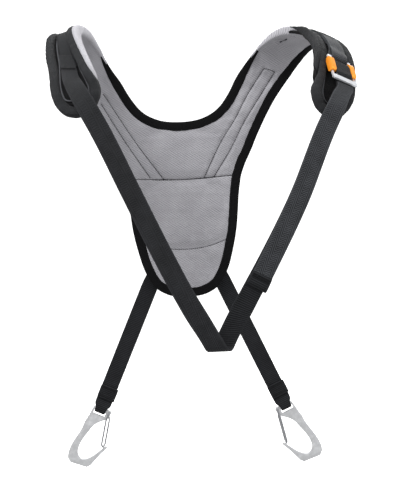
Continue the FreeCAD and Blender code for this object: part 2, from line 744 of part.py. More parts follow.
def carabiner(label, mirrored, bar, down):
    body = doc.addObject("PartDesign::Body", label)
    flip = -1.0 if mirrored else 1.0

    def flipped(points):
        return [(flip * x, z) for x, z in points]

    sketch = xz_sketch(body, label + "_outline")
    outline = polyline(flipped(SHOULDER + [SPINE[0]]))
    outline.append(spline(flipped(SPINE)))
    outline += polyline(flipped([SPINE[-1]] + HEAD + [BASKET[-1]]))
    outline.append(spline(flipped(BASKET)))
    for item in outline:
        sketch.addGeometry(item, False)
    pad = body.newObject("PartDesign::Pad", label + "_plate")
    pad.Profile = sketch
    pad.setExpression("Length", "sheet.plate_thick")
    pad.Midplane = True
    doc.recompute()
    eye = xz_sketch(body, label + "_eye")
    half = size("eye_gap") / 2.0
    top = -2.6
    low = top - size("eye_height")
    corners = [(-half, top), (half, top), (half, low), (-half, low), (-half, top)]
    for item in polyline(corners):
        eye.addGeometry(item, False)
    pocket = body.newObject("PartDesign::Pocket", label + "_eye_cut")
    pocket.Profile = eye
    pocket.Type = 1
    pocket.Midplane = True
    doc.recompute()
    check_cut(pad, pocket, size("eye_gap") * size("eye_height") * size("plate_thick"))
    pin = xz_sketch(body, label + "_pin")
    index = pin.addGeometry(Part.Circle(V(flip * 13.6, 0.0, 0), V(0, 0, 1), size("pin_bore") / 2.0), False)
    pin.addConstraint(Sketcher.Constraint("Diameter", index, size("pin_bore")))
    pin.setExpression("Constraints[0]", "sheet.pin_bore * 1 mm")
    bore = body.newObject("PartDesign::Pocket", label + "_pin_bore")
    bore.Profile = pin
    bore.Type = 1
    bore.Midplane = True
    doc.recompute()
    check_cut(pocket, bore, math.pi * size("pin_bore") ** 2 / 4.0 * size("plate_thick"))
    tilt = math.degrees(math.atan2(down.x, -down.z))
    body.Placement = FreeCAD.Placement(bar, FreeCAD.Rotation(V(0, 1, 0), -tilt))
    return keep(body, label)


carabiner("left_carabiner", False, left_bar, left_down)
carabiner("right_carabiner", True, right_bar, right_down)


def gate(label, mirrored, bar, down):
    # one wire: an end in the bore, out past the body, down to the nose, across and back
    flip = -1.0 if mirrored else 1.0
    span = size("gate_half_span")
    path = [
        V(flip * 13.6, 1.2, 0), V(flip * 13.6, span, 0), V(flip * 14.6, span, -4.5),
        V(flip * 23.6, span, -50.0), V(flip * 24.2, 0, -52.6), V(flip * 23.6, -span, -50.0),
        V(flip * 14.6, -span, -4.5), V(flip * 13.6, -span, 0), V(flip * 13.6, -1.2, 0)]
    spine = Part.makePolygon(path)
    ring = Part.Wire([Part.makeCircle(size("gate_wire") / 2.0, path[0], V(0, 1, 0))])
    wire = spine.makePipeShell([ring], True, False, 2)
    obj = doc.addObject("Part::Feature", label)
    obj.Shape = wire
    tilt = math.degrees(math.atan2(down.x, -down.z))
    obj.Placement = FreeCAD.Placement(bar, FreeCAD.Rotation(V(0, 1, 0), -tilt))
    return keep(obj, label)


gate("left_gate", False, left_bar, left_down)
gate("right_gate", True, right_bar, right_down)

# ---------------------------------------------------------------- buckle
# Own axes: X across the strap and Y down the strap, with the top bar at the origin.
# across x along points inward, so the buckle's own Z points at the wearer and heights are negative outward.


def buckle_placement():
    matrix = FreeCAD.Matrix(
        across.x, along.x, -out.x, TOP_BAR.x,
        across.y, along.y, -out.y, TOP_BAR.y,
        across.z, along.z, -out.z, TOP_BAR.z,
        0, 0, 0, 1)
    return FreeCAD.Placement(matrix)


place = buckle_placement()


def box(name, length, width, height, corner):
    item = doc.addObject("Part::Box", name)
    item.setExpression("Length", length)
    item.setExpression("Width", width)
    item.setExpression("Height", height)
    item.Placement = FreeCAD.Placement(corner, FreeCAD.Rotation())
    return item


half_frame = size("frame_width") / 2.0
half_window = size("window_width") / 2.0
low_bar = box(
    "frame_low_bar", "sheet.frame_width * 1 mm", "sheet.low_bar_width * 1 mm", "sheet.frame_thick * 1 mm",
    V(-half_frame, size("frame_length") - size("low_bar_width") / 2.0,
      -size("low_bar_lift") - size("frame_thick") / 2.0))
left_rail = box(
    "frame_left_rail", "(sheet.frame_width - sheet.window_width) / 2 * 1 mm", "sheet.frame_length * 1 mm",
    "sheet.frame_thick * 1 mm", V(-half_frame, 0, -size("frame_thick") / 2.0))
right_rail = box(
    "frame_right_rail", "(sheet.frame_width - sheet.window_width) / 2 * 1 mm", "sheet.frame_length * 1 mm",
    "sheet.frame_thick * 1 mm", V(half_window, 0, -size("frame_thick") / 2.0))
bar = doc.addObject("Part::Cylinder", "frame_top_bar")
bar.setExpression("Radius", "sheet.top_bar / 2 * 1 mm")
bar.setExpression("Height", "sheet.frame_width * 1 mm")
bar.Placement = FreeCAD.Placement(V(-half_frame, 0, 0), FreeCAD.Rotation(V(0, 1, 0), 90))
frame_solid = doc.addObject("Part::MultiFuse", "buckle_frame")
frame_solid.Shapes = [low_bar, left_rail, right_rail, bar]
frame_solid.Refine = True
frame_solid.Placement = place
keep(frame_solid, "buckle_frame")

plate = box(
    "slider_plate", "sheet.slider_width * 1 mm + 0.4 mm",
    "sheet.slider_length * 1 mm - sheet.slider_thick * 1 mm", "sheet.slider_thick * 1 mm",
    V(-size("slider_width") / 2.0 - 0.2, SLIDER_TOP + size("slider_thick") / 2.0,
      -size("slider_thick") / 2.0))
rounds = []
for name, down in (
        ("slider_round_top", SLIDER_TOP + size("slider_thick") / 2.0),
        ("slider_round_low", SLIDER_TOP + size("slider_length") - size("slider_thick") / 2.0)):
    item = doc.addObject("Part::Cylinder", name)
    item.setExpression("Radius", "sheet.slider_thick / 2 * 1 mm")
    item.setExpression("Height", "sheet.slider_width * 1 mm + 0.4 mm")
    item.Placement = FreeCAD.Placement(
        V(-size("slider_width") / 2.0 - 0.2, down, 0), FreeCAD.Rotation(V(0, 1, 0), 90))
    rounds.append(item)
CHEEK_TOP = 5.5
CHEEK_LIFT = 0.4
cheeks = []
slots = []
for name, side in (("cheek_left", -1.0), ("cheek_right", 1.0)):
    reach = size("slider_width") / 2.0
    start = -reach - size("cheek_thick") if side < 0 else reach
    radius = size("cheek_height") / 2.0
    middle = box(
        name + "_middle", "sheet.cheek_thick * 1 mm", "(sheet.cheek_length - sheet.cheek_height) * 1 mm",
        "sheet.cheek_height * 1 mm", V(start, CHEEK_TOP + radius, -radius - CHEEK_LIFT))
    cheeks.append(middle)
    for end, down in (
            ("_top", CHEEK_TOP + radius),
            ("_low", CHEEK_TOP + size("cheek_length") - radius)):
        item = doc.addObject("Part::Cylinder", name + end)
        item.setExpression("Radius", "sheet.cheek_height / 2 * 1 mm")
        item.setExpression("Height", "sheet.cheek_thick * 1 mm")
        item.Placement = FreeCAD.Placement(V(start, down, -CHEEK_LIFT), FreeCAD.Rotation(V(0, 1, 0), 90))
        cheeks.append(item)
    play = size("rail_play")
    slot_start = -half_frame - play if side < 0 else half_window - play
    slots.append(box(
        name + "_slot", "((sheet.frame_width - sheet.window_width) / 2 + 2 * sheet.rail_play) * 1 mm",
        "(sheet.cheek_length + 2) * 1 mm", "(sheet.frame_thick + 2 * sheet.rail_play) * 1 mm",
        V(slot_start, CHEEK_TOP - 1.0, -size("frame_thick") / 2.0 - play)))
whole = doc.addObject("Part::MultiFuse", "slider_whole")
whole.Shapes = [plate] + rounds + cheeks
whole.Refine = True
both_slots = doc.addObject("Part::MultiFuse", "slider_slots")
both_slots.Shapes = slots
slider = doc.addObject("Part::Cut", "buckle_slider")
slider.Base = whole
slider.Tool = both_slots
slider.Placement = place
keep(slider, "buckle_slider")

# ---------------------------------------------------------------- checks and files
doc.recompute()
for obj in doc.Objects:
    if "Invalid" in obj.State or "Error" in obj.State:
        raise RuntimeError("object failed: " + obj.Label)
for node in NODES:
    shape = node.Shape
    if shape.isNull() or not shape.isValid():
        raise RuntimeError("bad shape: " + node.Label)
    if len(shape.Solids) != 1:
        raise RuntimeError("not one solid: " + node.Label)
    shape.exportStep("parts/" + node.Label + ".step")
    print(node.Label, round(shape.Volume / 1000.0, 2), "cm3")
print(len(NODES), "sub-parts")
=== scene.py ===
import contextlib
import math

import bmesh
import bpy
import numpy as np
from mathutils import Matrix, Vector
from mathutils.bvhtree import BVHTree
from mathutils.kdtree import KDTree


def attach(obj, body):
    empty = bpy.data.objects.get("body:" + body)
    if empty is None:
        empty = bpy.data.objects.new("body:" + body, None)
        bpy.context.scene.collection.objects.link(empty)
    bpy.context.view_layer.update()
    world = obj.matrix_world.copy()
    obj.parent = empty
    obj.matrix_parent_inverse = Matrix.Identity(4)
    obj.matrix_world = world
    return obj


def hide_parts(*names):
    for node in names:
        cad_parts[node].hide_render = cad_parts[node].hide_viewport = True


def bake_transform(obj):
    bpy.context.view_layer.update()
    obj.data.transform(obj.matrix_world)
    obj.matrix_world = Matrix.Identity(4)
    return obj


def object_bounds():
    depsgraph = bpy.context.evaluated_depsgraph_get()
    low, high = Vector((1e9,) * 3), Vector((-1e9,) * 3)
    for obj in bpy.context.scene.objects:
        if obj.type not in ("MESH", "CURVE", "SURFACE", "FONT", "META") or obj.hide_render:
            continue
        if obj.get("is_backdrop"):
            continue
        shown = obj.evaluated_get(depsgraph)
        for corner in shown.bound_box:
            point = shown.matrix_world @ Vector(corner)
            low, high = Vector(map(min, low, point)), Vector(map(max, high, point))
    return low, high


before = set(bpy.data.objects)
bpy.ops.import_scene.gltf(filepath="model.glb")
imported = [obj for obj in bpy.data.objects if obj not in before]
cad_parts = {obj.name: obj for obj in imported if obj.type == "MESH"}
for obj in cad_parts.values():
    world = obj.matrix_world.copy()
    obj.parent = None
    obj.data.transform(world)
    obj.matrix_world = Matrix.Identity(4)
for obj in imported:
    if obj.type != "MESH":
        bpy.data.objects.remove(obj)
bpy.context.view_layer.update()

# Padded harness shoulder straps. Lengths below are millimetres until a mesh is made.
MM = 0.001
SCENE = bpy.context.scene
FLAT_NORMAL = np.array([0.0, 1.0, 0.0])


# ---- numbers and curves
def level(at, steps):
    return np.interp(at, [step[0] for step in steps], [step[1] for step in steps])


def many(value):
    return np.atleast_1d(np.asarray(value, float))


def unit(v):
    v = np.asarray(v, float)
    return v / np.maximum(np.linalg.norm(v, axis=-1, keepdims=True), 1e-12)


def ease(x):
    x = np.clip(x, 0.0, 1.0)
    return x * x * (3 - 2 * x)


def mix(first, second, share):
    return first * (1 - share) + second * share


def spline(points, at):
    """Points on the smooth curve through points; at counts in points."""
    points = np.asarray(points, float)
    at = np.clip(many(at), 0, len(points) - 1)
    chord = np.linalg.norm(np.diff(points, axis=0), axis=1) + 1e-9
    slope = np.diff(points, axis=0) / chord[:, None]
    tangent = np.empty_like(points)
    tangent[0], tangent[-1] = slope[0], slope[-1]
    left, right = chord[:-1, None], chord[1:, None]
    tangent[1:-1] = (slope[:-1] * right + slope[1:] * left) / (left + right)
    low = np.minimum(at.astype(int), len(points) - 2)
    part = (at - low)[:, None]
    reach = chord[low][:, None]
    return (points[low] * (1 + 2 * part) * (1 - part) ** 2
            + tangent[low] * reach * part * (1 - part) ** 2
            + points[low + 1] * part ** 2 * (3 - 2 * part)
            - tangent[low + 1] * reach * part ** 2 * (1 - part))


def lengths(points):
    return np.concatenate([[0.0], np.cumsum(np.linalg.norm(np.diff(points, axis=0), axis=1))])


def respace(points, step, *others):
    """The same curve in even steps, with the arrays in others carried along."""
    reach = lengths(points)
    count = max(int(round(reach[-1] / step)), 2)
    at = np.linspace(0, reach[-1], count + 1)
    result = []
    for values in (points,) + others:
        values = np.asarray(values, float)
        if values.ndim == 1:
            result.append(np.interp(at, reach, values))
        else:
            result.append(np.stack([np.interp(at, reach, column) for column in values.T], axis=1))
    return result


def soften(values, times):
    for _ in range(times):
        inner = values[1:-1] * 0.5 + (values[:-2] + values[2:]) * 0.25
        values = np.concatenate([values[:1], inner, values[-1:]])
    return values


# ---- the yoke's two halves
# stations of each half, as a point on its neck edge and one on its outer edge
SHARED = [
    ((0, 0, 2.2), (88, 0, 2.2)), ((0, 0, 50), (95, 0, 21)),
    ((0, 0, 88.5), (106, 0, 43)), ((32, 0, 93), (114, 0, 61)),
    ((55, 0, 105), (124, 0, 81)), ((75, 0, 130), (137, 0, 105)),
    ((88, 0, 154), (147, 0, 121))]
BUCKLE_SIDE = SHARED + [
    ((100, -2, 170), (158, 0, 136)), ((112, -9, 183), (170, -1, 151)),
    ((124, -20, 193), (182, -4, 165)), ((135, -34, 198), (193, -12, 176)),
    ((146, -50, 199), (203, -25, 183)), ((157, -67, 197), (214, -41, 184)),
    ((167, -84, 191), (223, -60, 177)), ((174, -101, 184), (230, -81, 166)),
    ((179, -119, 174), (235, -101, 151)), ((181, -140, 160), (236, -120, 133)),
    ((180, -160, 142), (234, -137, 115)), ((175, -178, 120), (231, -152, 100)),
    ((170, -193, 100), (228, -165, 87)), ((167, -205, 82), (224, -176, 74)),
    ((170, -213, 66), (216, -188, 61)), ((180, -219, 52), (203, -201, 51))]
PLAIN_SIDE = [tuple((-x, y, z) for x, y, z in pair) for pair in SHARED] + [
    ((-99, -2, 170), (-157, 0, 136)), ((-107, -9, 183), (-166, -1, 151)),
    ((-113, -21, 195), (-173, -6, 167)), ((-118, -37, 203), (-177, -15, 181)),
    ((-122, -56, 206), (-179, -27, 192)), ((-126, -76, 206), (-180, -41, 198)),
    ((-128, -96, 202), (-178, -55, 200)), ((-127, -114, 193), (-176, -70, 196)),
    ((-123, -131, 180), (-174, -86, 187)), ((-117, -147, 164), (-172, -103, 174)),
    ((-110, -163, 146), (-169, -122, 158)), ((-103, -179, 128), (-165, -144, 139)),
    ((-96, -194, 111), (-162, -167, 119)), ((-92, -206, 97), (-158, -185, 98)),
    ((-95, -216, 81), (-151, -199, 80)), ((-106, -223, 65), (-136, -211, 65))]
PANEL_EDGE = [(88, 0), (84.5, -20), (82, -45), (79, -72), (71.5, -108), (62, -138), (48, -161), (28, -173)]
PANEL_FOOT = (0.0, -176.0)
LAST = 22.0  # the last station of a half
BAND = 14.0  # width of the bound border
GAP = 0.2
WEB, WEB_THICK = 25.0, 1.8
STRAP_COUNT, RIM_COUNT = 28, 26


class Half:
    """One half of the yoke, by station: its edges, its outward normal and the ways in from each edge."""

    def __init__(self, stations, side):
        self.side = side
        self.neck_points = [np.array(pair[0], float) for pair in stations]
        self.outer_points = [np.array(pair[1], float) for pair in stations]
        ghost = self.neck_points[3] * np.array([-1.0, 1.0, 1.0])
        self.neck_curve = [ghost] + self.neck_points[2:]

    def neck(self, t):
        t = many(t)
        lower = spline(self.neck_points[:3], np.minimum(t, 2.0))
        return np.where((t < 2)[:, None], lower, spline(self.neck_curve, t - 1.0))

    def outer(self, t):
        return spline(self.outer_points, t)

    def normal(self, t):
        t = many(t)
        above, below = np.minimum(t + 0.9, LAST), np.maximum(t - 0.9, 0.0)
        along = self.neck(above) + self.outer(above) - self.neck(below) - self.outer(below)
        found = unit(np.cross(along, self.outer(t) - self.neck(t)) * self.side)
        share = ease((t - 5.6) / 1.8)[:, None]
        return unit(mix(FLAT_NORMAL, found, share))

    def way(self, t, edge):
        t = many(t)
        line = self.neck if edge == "neck" else self.outer
        least = 2.0 if edge == "neck" else 0.0
        run = unit(line(np.minimum(t + 0.25, LAST)) - line(np.maximum(t - 0.25, least)))
        if edge == "neck":
            run = np.where((t <= 2.0)[:, None], np.array([self.side, 0.0, 0.0]), run)
        across = unit(self.outer(t) - self.neck(t)) * (1.0 if edge == "neck" else -1.0)
        square = np.cross(self.normal(t), run)
        square = unit(square * np.sign(np.sum(square * across, axis=1))[:, None])
        slant = across / np.maximum(np.linalg.norm(np.cross(across, run), axis=1), 0.6)[:, None]
        share = ease((t - 5.5) / 1.0)[:, None]
        return mix(square, slant, share)

    def centre(self, t, height, shift):
        """Places on the middle line, lifted and shifted sideways, with the ways across and the normals."""
        neck, outer, normal = self.neck(t), self.outer(t), self.normal(t)
        across = unit(outer - neck)
        lift, shift = many(height).reshape(-1, 1), many(shift).reshape(-1, 1)
        return (neck + outer) / 2 + across * shift + normal * lift, across, normal


RIGHT = Half(BUCKLE_SIDE, 1.0)
LEFT = Half(PLAIN_SIDE, -1.0)


def foam_top(t):
    return level(t, [(6.5, 9.4), (10.0, 7.0)])


def neck_inset(t):
    return level(t, [(2.0, BAND + GAP), (6.5, BAND + GAP), (8.5, 5.0), (18.5, 5.0), (20.0, BAND + GAP)])


# ---- meshes
def build(name, points, faces, tones=None, uv=None):
    mesh = bpy.data.meshes.new(name)
    mesh.from_pydata([tuple(p) for p in np.asarray(points, float) * MM], [], faces)
    if tones is not None:
        mesh.polygons.foreach_set("material_index", tones)
    if uv is not None:
        layer = mesh.uv_layers.new(name="Weave")
        loops = np.empty(len(mesh.loops), np.int32)
        mesh.loops.foreach_get("vertex_index", loops)
        layer.data.foreach_set("uv", np.asarray(uv, np.float32)[loops].reshape(-1))
    mesh.polygons.foreach_set("use_smooth", [True] * len(mesh.polygons))
    mesh.update()
    obj = bpy.data.objects.new(name, mesh)
    SCENE.collection.objects.link(obj)
    return obj


def read(mesh, what="co"):
    flat = np.empty(len(mesh.vertices) * 3, np.float32)
    mesh.vertices.foreach_get(what, flat)
    return flat.reshape(-1, 3).astype(float)


def coords(obj):
    return read(obj.data) / MM


def set_coords(obj, points):
    obj.data.vertices.foreach_set("co", (np.asarray(points) * MM).astype(np.float32).reshape(-1))
    obj.data.update()


def normals(obj):
    return read(obj.data, "normal")


@contextlib.contextmanager
def remade(mesh):
    """A mesh opened for edits, which are written back at the end."""
    work = bmesh.new()
    work.from_mesh(mesh)
    yield work
    work.to_mesh(mesh)
    work.free()


def bake_modifiers(obj):
    """Leaves the mesh as its modifiers make it, with none of them on it."""
    shown = obj.evaluated_get(bpy.context.evaluated_depsgraph_get())
    mesh = bpy.data.meshes.new_from_object(shown)
    obj.modifiers.clear()
    obj.data = mesh
    return obj


def wobble(points, scale, seed=0.0):
    """A smooth unevenness between -1 and 1, in place of random numbers."""
    x, y, z = (points[:, k] / scale for k in range(3))
    return (np.sin(x * 1.7 + z * 0.9 + seed) + np.sin(y * 2.1 - x * 0.8 + seed * 1.7)
            + np.sin(z * 1.9 + y * 1.1 + seed * 2.3)) / 3.0


def roughen(obj, amount, scale, seed):
    """Moves each point along its normal by a smooth unevenness."""
    points = coords(obj)
    set_coords(obj, points + normals(obj) * (amount * wobble(points, scale, seed))[:, None])
    return obj


def loft(name, centre, wide, high, half_wide, half_high, power, count):
    """A tube of rounded flat section. Its UVs are millimetres: across the section and along it."""
    rows = len(centre)
    turn = np.linspace(0, 2 * math.pi, count, endpoint=False) + math.pi / count
    power = np.broadcast_to(np.asarray(power, float), rows)[:, None]
    x = np.sign(np.cos(turn)) * np.abs(np.cos(turn)) ** (2 / power)
    y = np.sign(np.sin(turn)) * np.abs(np.sin(turn)) ** (2 / power)
    a = np.broadcast_to(np.asarray(half_wide, float), rows)[:, None] * x
    b = np.broadcast_to(np.asarray(half_high, float), rows)[:, None] * y
    points = centre[:, None, :] + wide[:, None, :] * a[..., None] + high[:, None, :] * b[..., None]
    reach = lengths(centre)
    uv = np.stack([a, np.broadcast_to(reach[:, None], a.shape)], axis=-1)
    faces = []
    for r in range(rows - 1):
        for c in range(count):
            a, b = r * count + c, r * count + (c + 1) % count
            faces.append((a, b, b + count, a + count))
    points, uv = points.reshape(-1, 3), uv.reshape(-1, 2)
    for row, order in ((0, -1), (rows - 1, 1)):
        hub = len(points)
        points = np.concatenate([points, centre[row:row + 1]])
        uv = np.concatenate([uv, [[0.0, reach[row]]]])
        for c in range(count):
            faces.append((row * count + c, row * count + (c + 1) % count)[::order] + (hub,))
    obj = build(name, points, faces, uv=uv)
    with remade(obj.data) as work:
        bmesh.ops.recalc_face_normals(work, faces=work.faces)
    return obj


def strap(name, stations, step=2.0, level_section=False):
    """A webbing strap through stations of (centre, way across, normal, width). Its section is turned square
    to its run, or keeps to the stations' own ways, so that a skewed fold stays level."""
    centre, across, normal = (np.array([s[k] for s in stations], float) for k in range(3))
    width = np.array([s[3] if len(s) > 3 else WEB for s in stations], float)
    parts = 10 if level_section else 12
    fine = np.linspace(0, len(centre) - 1, (len(centre) - 1) * parts + 1)
    wide = np.interp(fine, np.arange(len(centre)), width)
    line, side, up = (spline(values, fine) for values in (centre, across, normal))
    line, side, up, wide = respace(line, step, side, up, wide)
    side = unit(side)
    if level_section:
        up = unit(up)
    else:
        found = np.cross(side, unit(np.gradient(line, axis=0)))
        up = unit(found * np.sign(np.sum(found * up, axis=1))[:, None])
    return loft(name, line, side, up, wide / 2, WEB_THICK / 2, 7.0, STRAP_COUNT)


# ---- materials
class Shade:
    """A node material built by short calls."""

    def __init__(self, name, rough=0.8, metal=0.0, sheen=0.0, shine=0.5):
        self.mat = bpy.data.materials.new(name)
        self.mat.use_nodes = True
        self.tree = self.mat.node_tree
        self.tree.nodes.clear()
        self.out = self.add("ShaderNodeOutputMaterial")
        self.skin = self.add("ShaderNodeBsdfPrincipled")
        self.tree.links.new(self.skin.outputs[0], self.out.inputs[0])
        for socket, value in (("Roughness", rough), ("Metallic", metal), ("Sheen Weight", sheen),
                              ("Sheen Roughness", 0.5), ("Specular IOR Level", shine)):
            self.skin.inputs[socket].default_value = value

    def add(self, kind, **props):
        node = self.tree.nodes.new(kind)
        for key, value in props.items():
            setattr(node, key, value)
        return node

    def put(self, socket, value):
        if isinstance(value, (int, float, tuple)):
            socket.default_value = value
        else:
            self.tree.links.new(value, socket)

    def feed(self, node, *values):
        for socket, value in zip(node.inputs, values):
            self.put(socket, value)
        return node.outputs[0]

    def math(self, op, *values):
        return self.feed(self.add("ShaderNodeMath", operation=op), *values)

    def plus(self, one, two):
        return self.math("ADD", one, two)

    def times(self, one, two):
        return self.math("MULTIPLY", one, two)

    def scaled(self, value, factor, more):
        return self.math("MULTIPLY_ADD", value, factor, more)

    def parts(self, node):
        split_up = self.add("ShaderNodeSeparateXYZ")
        self.put(split_up.inputs[0], node.outputs[0])
        return tuple(split_up.outputs)

    def place(self):
        """Object coordinates in millimetres, as x, y, z sockets and a vector."""
        where = self.add("ShaderNodeTexCoord").outputs["Object"]
        large = self.add("ShaderNodeVectorMath", operation="SCALE")
        self.put(large.inputs[0], where)
        large.inputs["Scale"].default_value = 1 / MM
        return (*self.parts(large), large.outputs[0])

    def weave_uv(self):
        node = self.add("ShaderNodeUVMap", uv_map="Weave")
        return self.parts(node)[:2]

    def wave(self, value, pitch):
        """A sine of a length in millimetres."""
        return self.math("SINE", self.scaled(value, 2 * math.pi / pitch, 0.0))

    def noise(self, vector, pitch, detail=2.0, rough=0.5):
        node = self.add("ShaderNodeTexNoise")
        self.put(node.inputs["Vector"], vector)
        node.inputs["Scale"].default_value = 1.0 / pitch
        node.inputs["Detail"].default_value = detail
        node.inputs["Roughness"].default_value = rough
        return node.outputs["Fac"]

    def fit(self, value, low, high, to_low, to_high):
        return self.feed(self.add("ShaderNodeMapRange"), value, low, high, to_low, to_high)

    def blend(self, share, first, second):
        node = self.add("ShaderNodeMix", data_type="RGBA")
        self.put(node.inputs["Factor"], share)
        self.put(node.inputs[6], first)
        self.put(node.inputs[7], second)
        return node.outputs[2]

    def finish(self, colour=None, height=None, depth=0.2, rough=None):
        """depth is the relief in millimetres."""
        if colour is not None:
            self.put(self.skin.inputs["Base Color"], colour)
        if rough is not None:
            self.put(self.skin.inputs["Roughness"], rough)
        if height is not None:
            bump = self.add("ShaderNodeBump")
            bump.inputs["Strength"].default_value = 1.0
            bump.inputs["Distance"].default_value = depth * MM
            self.put(bump.inputs["Height"], height)
            self.tree.links.new(bump.outputs[0], self.skin.inputs["Normal"])
        return self.mat


def tint(r, g, b):
    """A colour given as sRGB bytes."""
    linear = []
    for part in (r, g, b):
        part = part / 255.0
        linear.append(part / 12.92 if part <= 0.04045 else ((part + 0.055) / 1.055) ** 2.4)
    return tuple(linear) + (1.0,)


def knit(name, dark, light):
    """Knitted lining, by its flat pattern: fine diagonal ribs broken into stitches."""
    pitch = 3.1
    s = Shade(name, rough=0.92, sheen=0.08, shine=0.2)
    across, along = s.weave_uv()
    where = s.place()[3]
    drift = s.scaled(s.noise(where, 5.0), 1.6, 0.0)
    ribs_at = s.plus(s.scaled(across, 0.62, drift), s.times(along, 0.95))
    loops_at = s.plus(s.times(across, 1.0), s.times(along, -0.35))
    ribs, loops = s.wave(ribs_at, pitch), s.wave(loops_at, pitch * 0.9)
    height = s.plus(s.times(ribs, 0.22), s.times(s.times(ribs, loops), 0.7))
    blotch = s.noise(where, 38.0, 3.0)
    fuzz = s.noise(where, 0.7, 2.0)
    share = s.plus(s.fit(height, -0.8, 0.8, 0.0, 0.85), s.scaled(blotch, 0.4, -0.24))
    share = s.scaled(fuzz, 0.2, share)
    return s.finish(s.blend(share, dark, light), s.scaled(fuzz, 0.5, height), 0.4)


def cloth(name, dark, light, pitch, depth, shine=0.15):
    """Plain woven shell, by object coordinates."""
    s = Shade(name, rough=0.85, sheen=0.03, shine=shine)
    x, y, z, where = s.place()
    one = s.wave(s.plus(x, s.times(y, 0.6)), pitch)
    two = s.wave(s.plus(z, s.times(y, 0.8)), pitch)
    height = s.times(one, two)
    worn = s.noise(where, 24.0, 4.0, 0.6)
    fuzz = s.noise(where, 0.5)
    share = s.plus(s.fit(height, -1.0, 1.0, 0.1, 0.7), s.scaled(worn, 0.7, -0.35))
    return s.finish(s.blend(share, dark, light), s.scaled(fuzz, 0.6, height), depth,
                    s.fit(worn, 0.3, 0.7, 0.77, 0.93))


def tape(name, dark, light, pitch, kind, shine, width=WEB):
    """Webbing or grosgrain by its own UVs: ribs across it or a herringbone, with a plainer selvedge."""
    s = Shade(name, rough=0.75, sheen=0.03, shine=shine)
    across, along = s.weave_uv()
    where = s.place()[3]
    if kind == "rib":
        height = s.wave(along, pitch)
        yarn = s.wave(across, pitch * 0.8)
        height = s.plus(s.times(height, 0.8), s.times(s.times(height, yarn), 0.2))
    else:
        zig = s.math("PINGPONG", across, 6.2)
        height = s.wave(s.plus(along, s.times(zig, 1.1)), pitch)
        height = s.scaled(s.wave(across, 0.9), 0.22, s.times(height, 0.8))
    side = s.math("ABSOLUTE", across)
    selvedge = s.fit(side, width / 2 - 1.8, width / 2 - 1.3, 0.0, 1.0)
    lip = s.wave(along, 0.8)
    height = s.plus(s.times(height, s.math("SUBTRACT", 1.0, selvedge)),
                    s.times(selvedge, s.scaled(lip, 0.4, 0.5)))
    worn = s.noise(where, 20.0, 4.0, 0.65)
    fuzz = s.noise(where, 0.45)
    share = s.plus(s.fit(height, -1.0, 1.0, 0.08, 0.72), s.scaled(worn, 0.6, -0.3))
    return s.finish(s.blend(share, dark, light), s.scaled(fuzz, 0.45, height), 0.3,
                    s.fit(worn, 0.3, 0.7, 0.68, 0.84))


def metal(name, colour, worn_colour, rough, metal_share, streak=(1.0, 1.0, 8.0), flecks=0.35):
    """Anodised or brushed alloy with faint scratches."""
    s = Shade(name, rough=rough, metal=metal_share)
    where = s.place()[3]
    stretched = s.add("ShaderNodeVectorMath", operation="MULTIPLY")
    s.put(stretched.inputs[0], where)
    stretched.inputs[1].default_value = streak
    grain = s.noise(stretched.outputs[0], 0.7, 3.0)
    patch = s.noise(where, 9.0, 5.0, 0.6)
    share = s.scaled(grain, flecks, s.fit(patch, 0.45, 0.75, 0.0, 0.5))
    return s.finish(s.blend(share, colour, worn_colour), grain, 0.03,
                    s.plus(s.fit(patch, 0.3, 0.7, rough - 0.06, rough + 0.08),
                           s.times(grain, 0.06)))


LINING = knit("lining_knit", tint(98, 97, 102), tint(192, 191, 196))
# a lighter copy of the lining knit for the left arm's rolled lining: a painted highlight where that roll
# catches the light
RIM_LINING_PAINTED_HIGHLIGHT = knit("rim_knit_painted_highlight", tint(128, 127, 132), tint(202, 201, 206))
# black shell cloth, darkened further to paint the deep shade in the valleys between the rolled edges: real
# black cloth plus painted shade
SHELL_WITH_PAINTED_SHADE = cloth("shell_weave_painted_shade", tint(3, 3, 4), tint(18, 18, 20), 2.2, 0.4, shine=0.08)
RIM = cloth("rim_cloth", tint(14, 15, 16), tint(52, 53, 56), 1.5, 0.3, shine=0.14)
BINDING = tape("binding_tape", tint(3, 3, 3), tint(24, 24, 26), 2.0, "rib", 0.06, 40.0)
WEBBING = tape("webbing_rib", tint(4, 5, 6), tint(48, 49, 52), 2.6, "rib", 0.1)
SMOOTH = tape("webbing_smooth", tint(6, 7, 8), tint(56, 57, 60), 2.6, "twill", 0.1)
TWILL = tape("webbing_twill", tint(10, 11, 13), tint(78, 80, 84), 3.4, "twill", 0.14)
THREAD = cloth("thread_dark", tint(6, 6, 7), tint(26, 26, 28), 0.8, 0.05)
GREY_THREAD = cloth("thread_grey", tint(22, 22, 24), tint(52, 52, 56), 0.8, 0.05)
PIPING = cloth("piping_cord", tint(58, 59, 62), tint(92, 93, 97), 1.2, 0.2)
SILVER = metal("alloy_silver", tint(206, 209, 214), tint(246, 247, 250), 0.30, 0.6)
CARABINER = metal("alloy_carabiner", tint(176, 177, 179), tint(226, 227, 229), 0.36, 0.6,
                  (6.0, 1.0, 1.0), 0.5)
WIRE = metal("steel_wire", tint(128, 129, 132), tint(196, 197, 200), 0.24, 0.9)
ORANGE = metal("alloy_orange", tint(240, 138, 18), tint(255, 178, 60), 0.34, 0.35, (1.0, 1.0, 6.0), 0.25)


def dress(obj, *materials):
    obj.data.materials.clear()
    for mat in materials:
        obj.data.materials.append(mat)
    return obj


def own(obj, body, slot, *nodes, fill=None):
    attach(obj, body)
    if nodes:
        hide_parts(*nodes)
    return obj


# ---- padded panels, inflated as cloth
INNER, OUTER, SIDE = 0, 1, 2
SIM_FRAMES = 20
SLIDE_CAP = 0.7


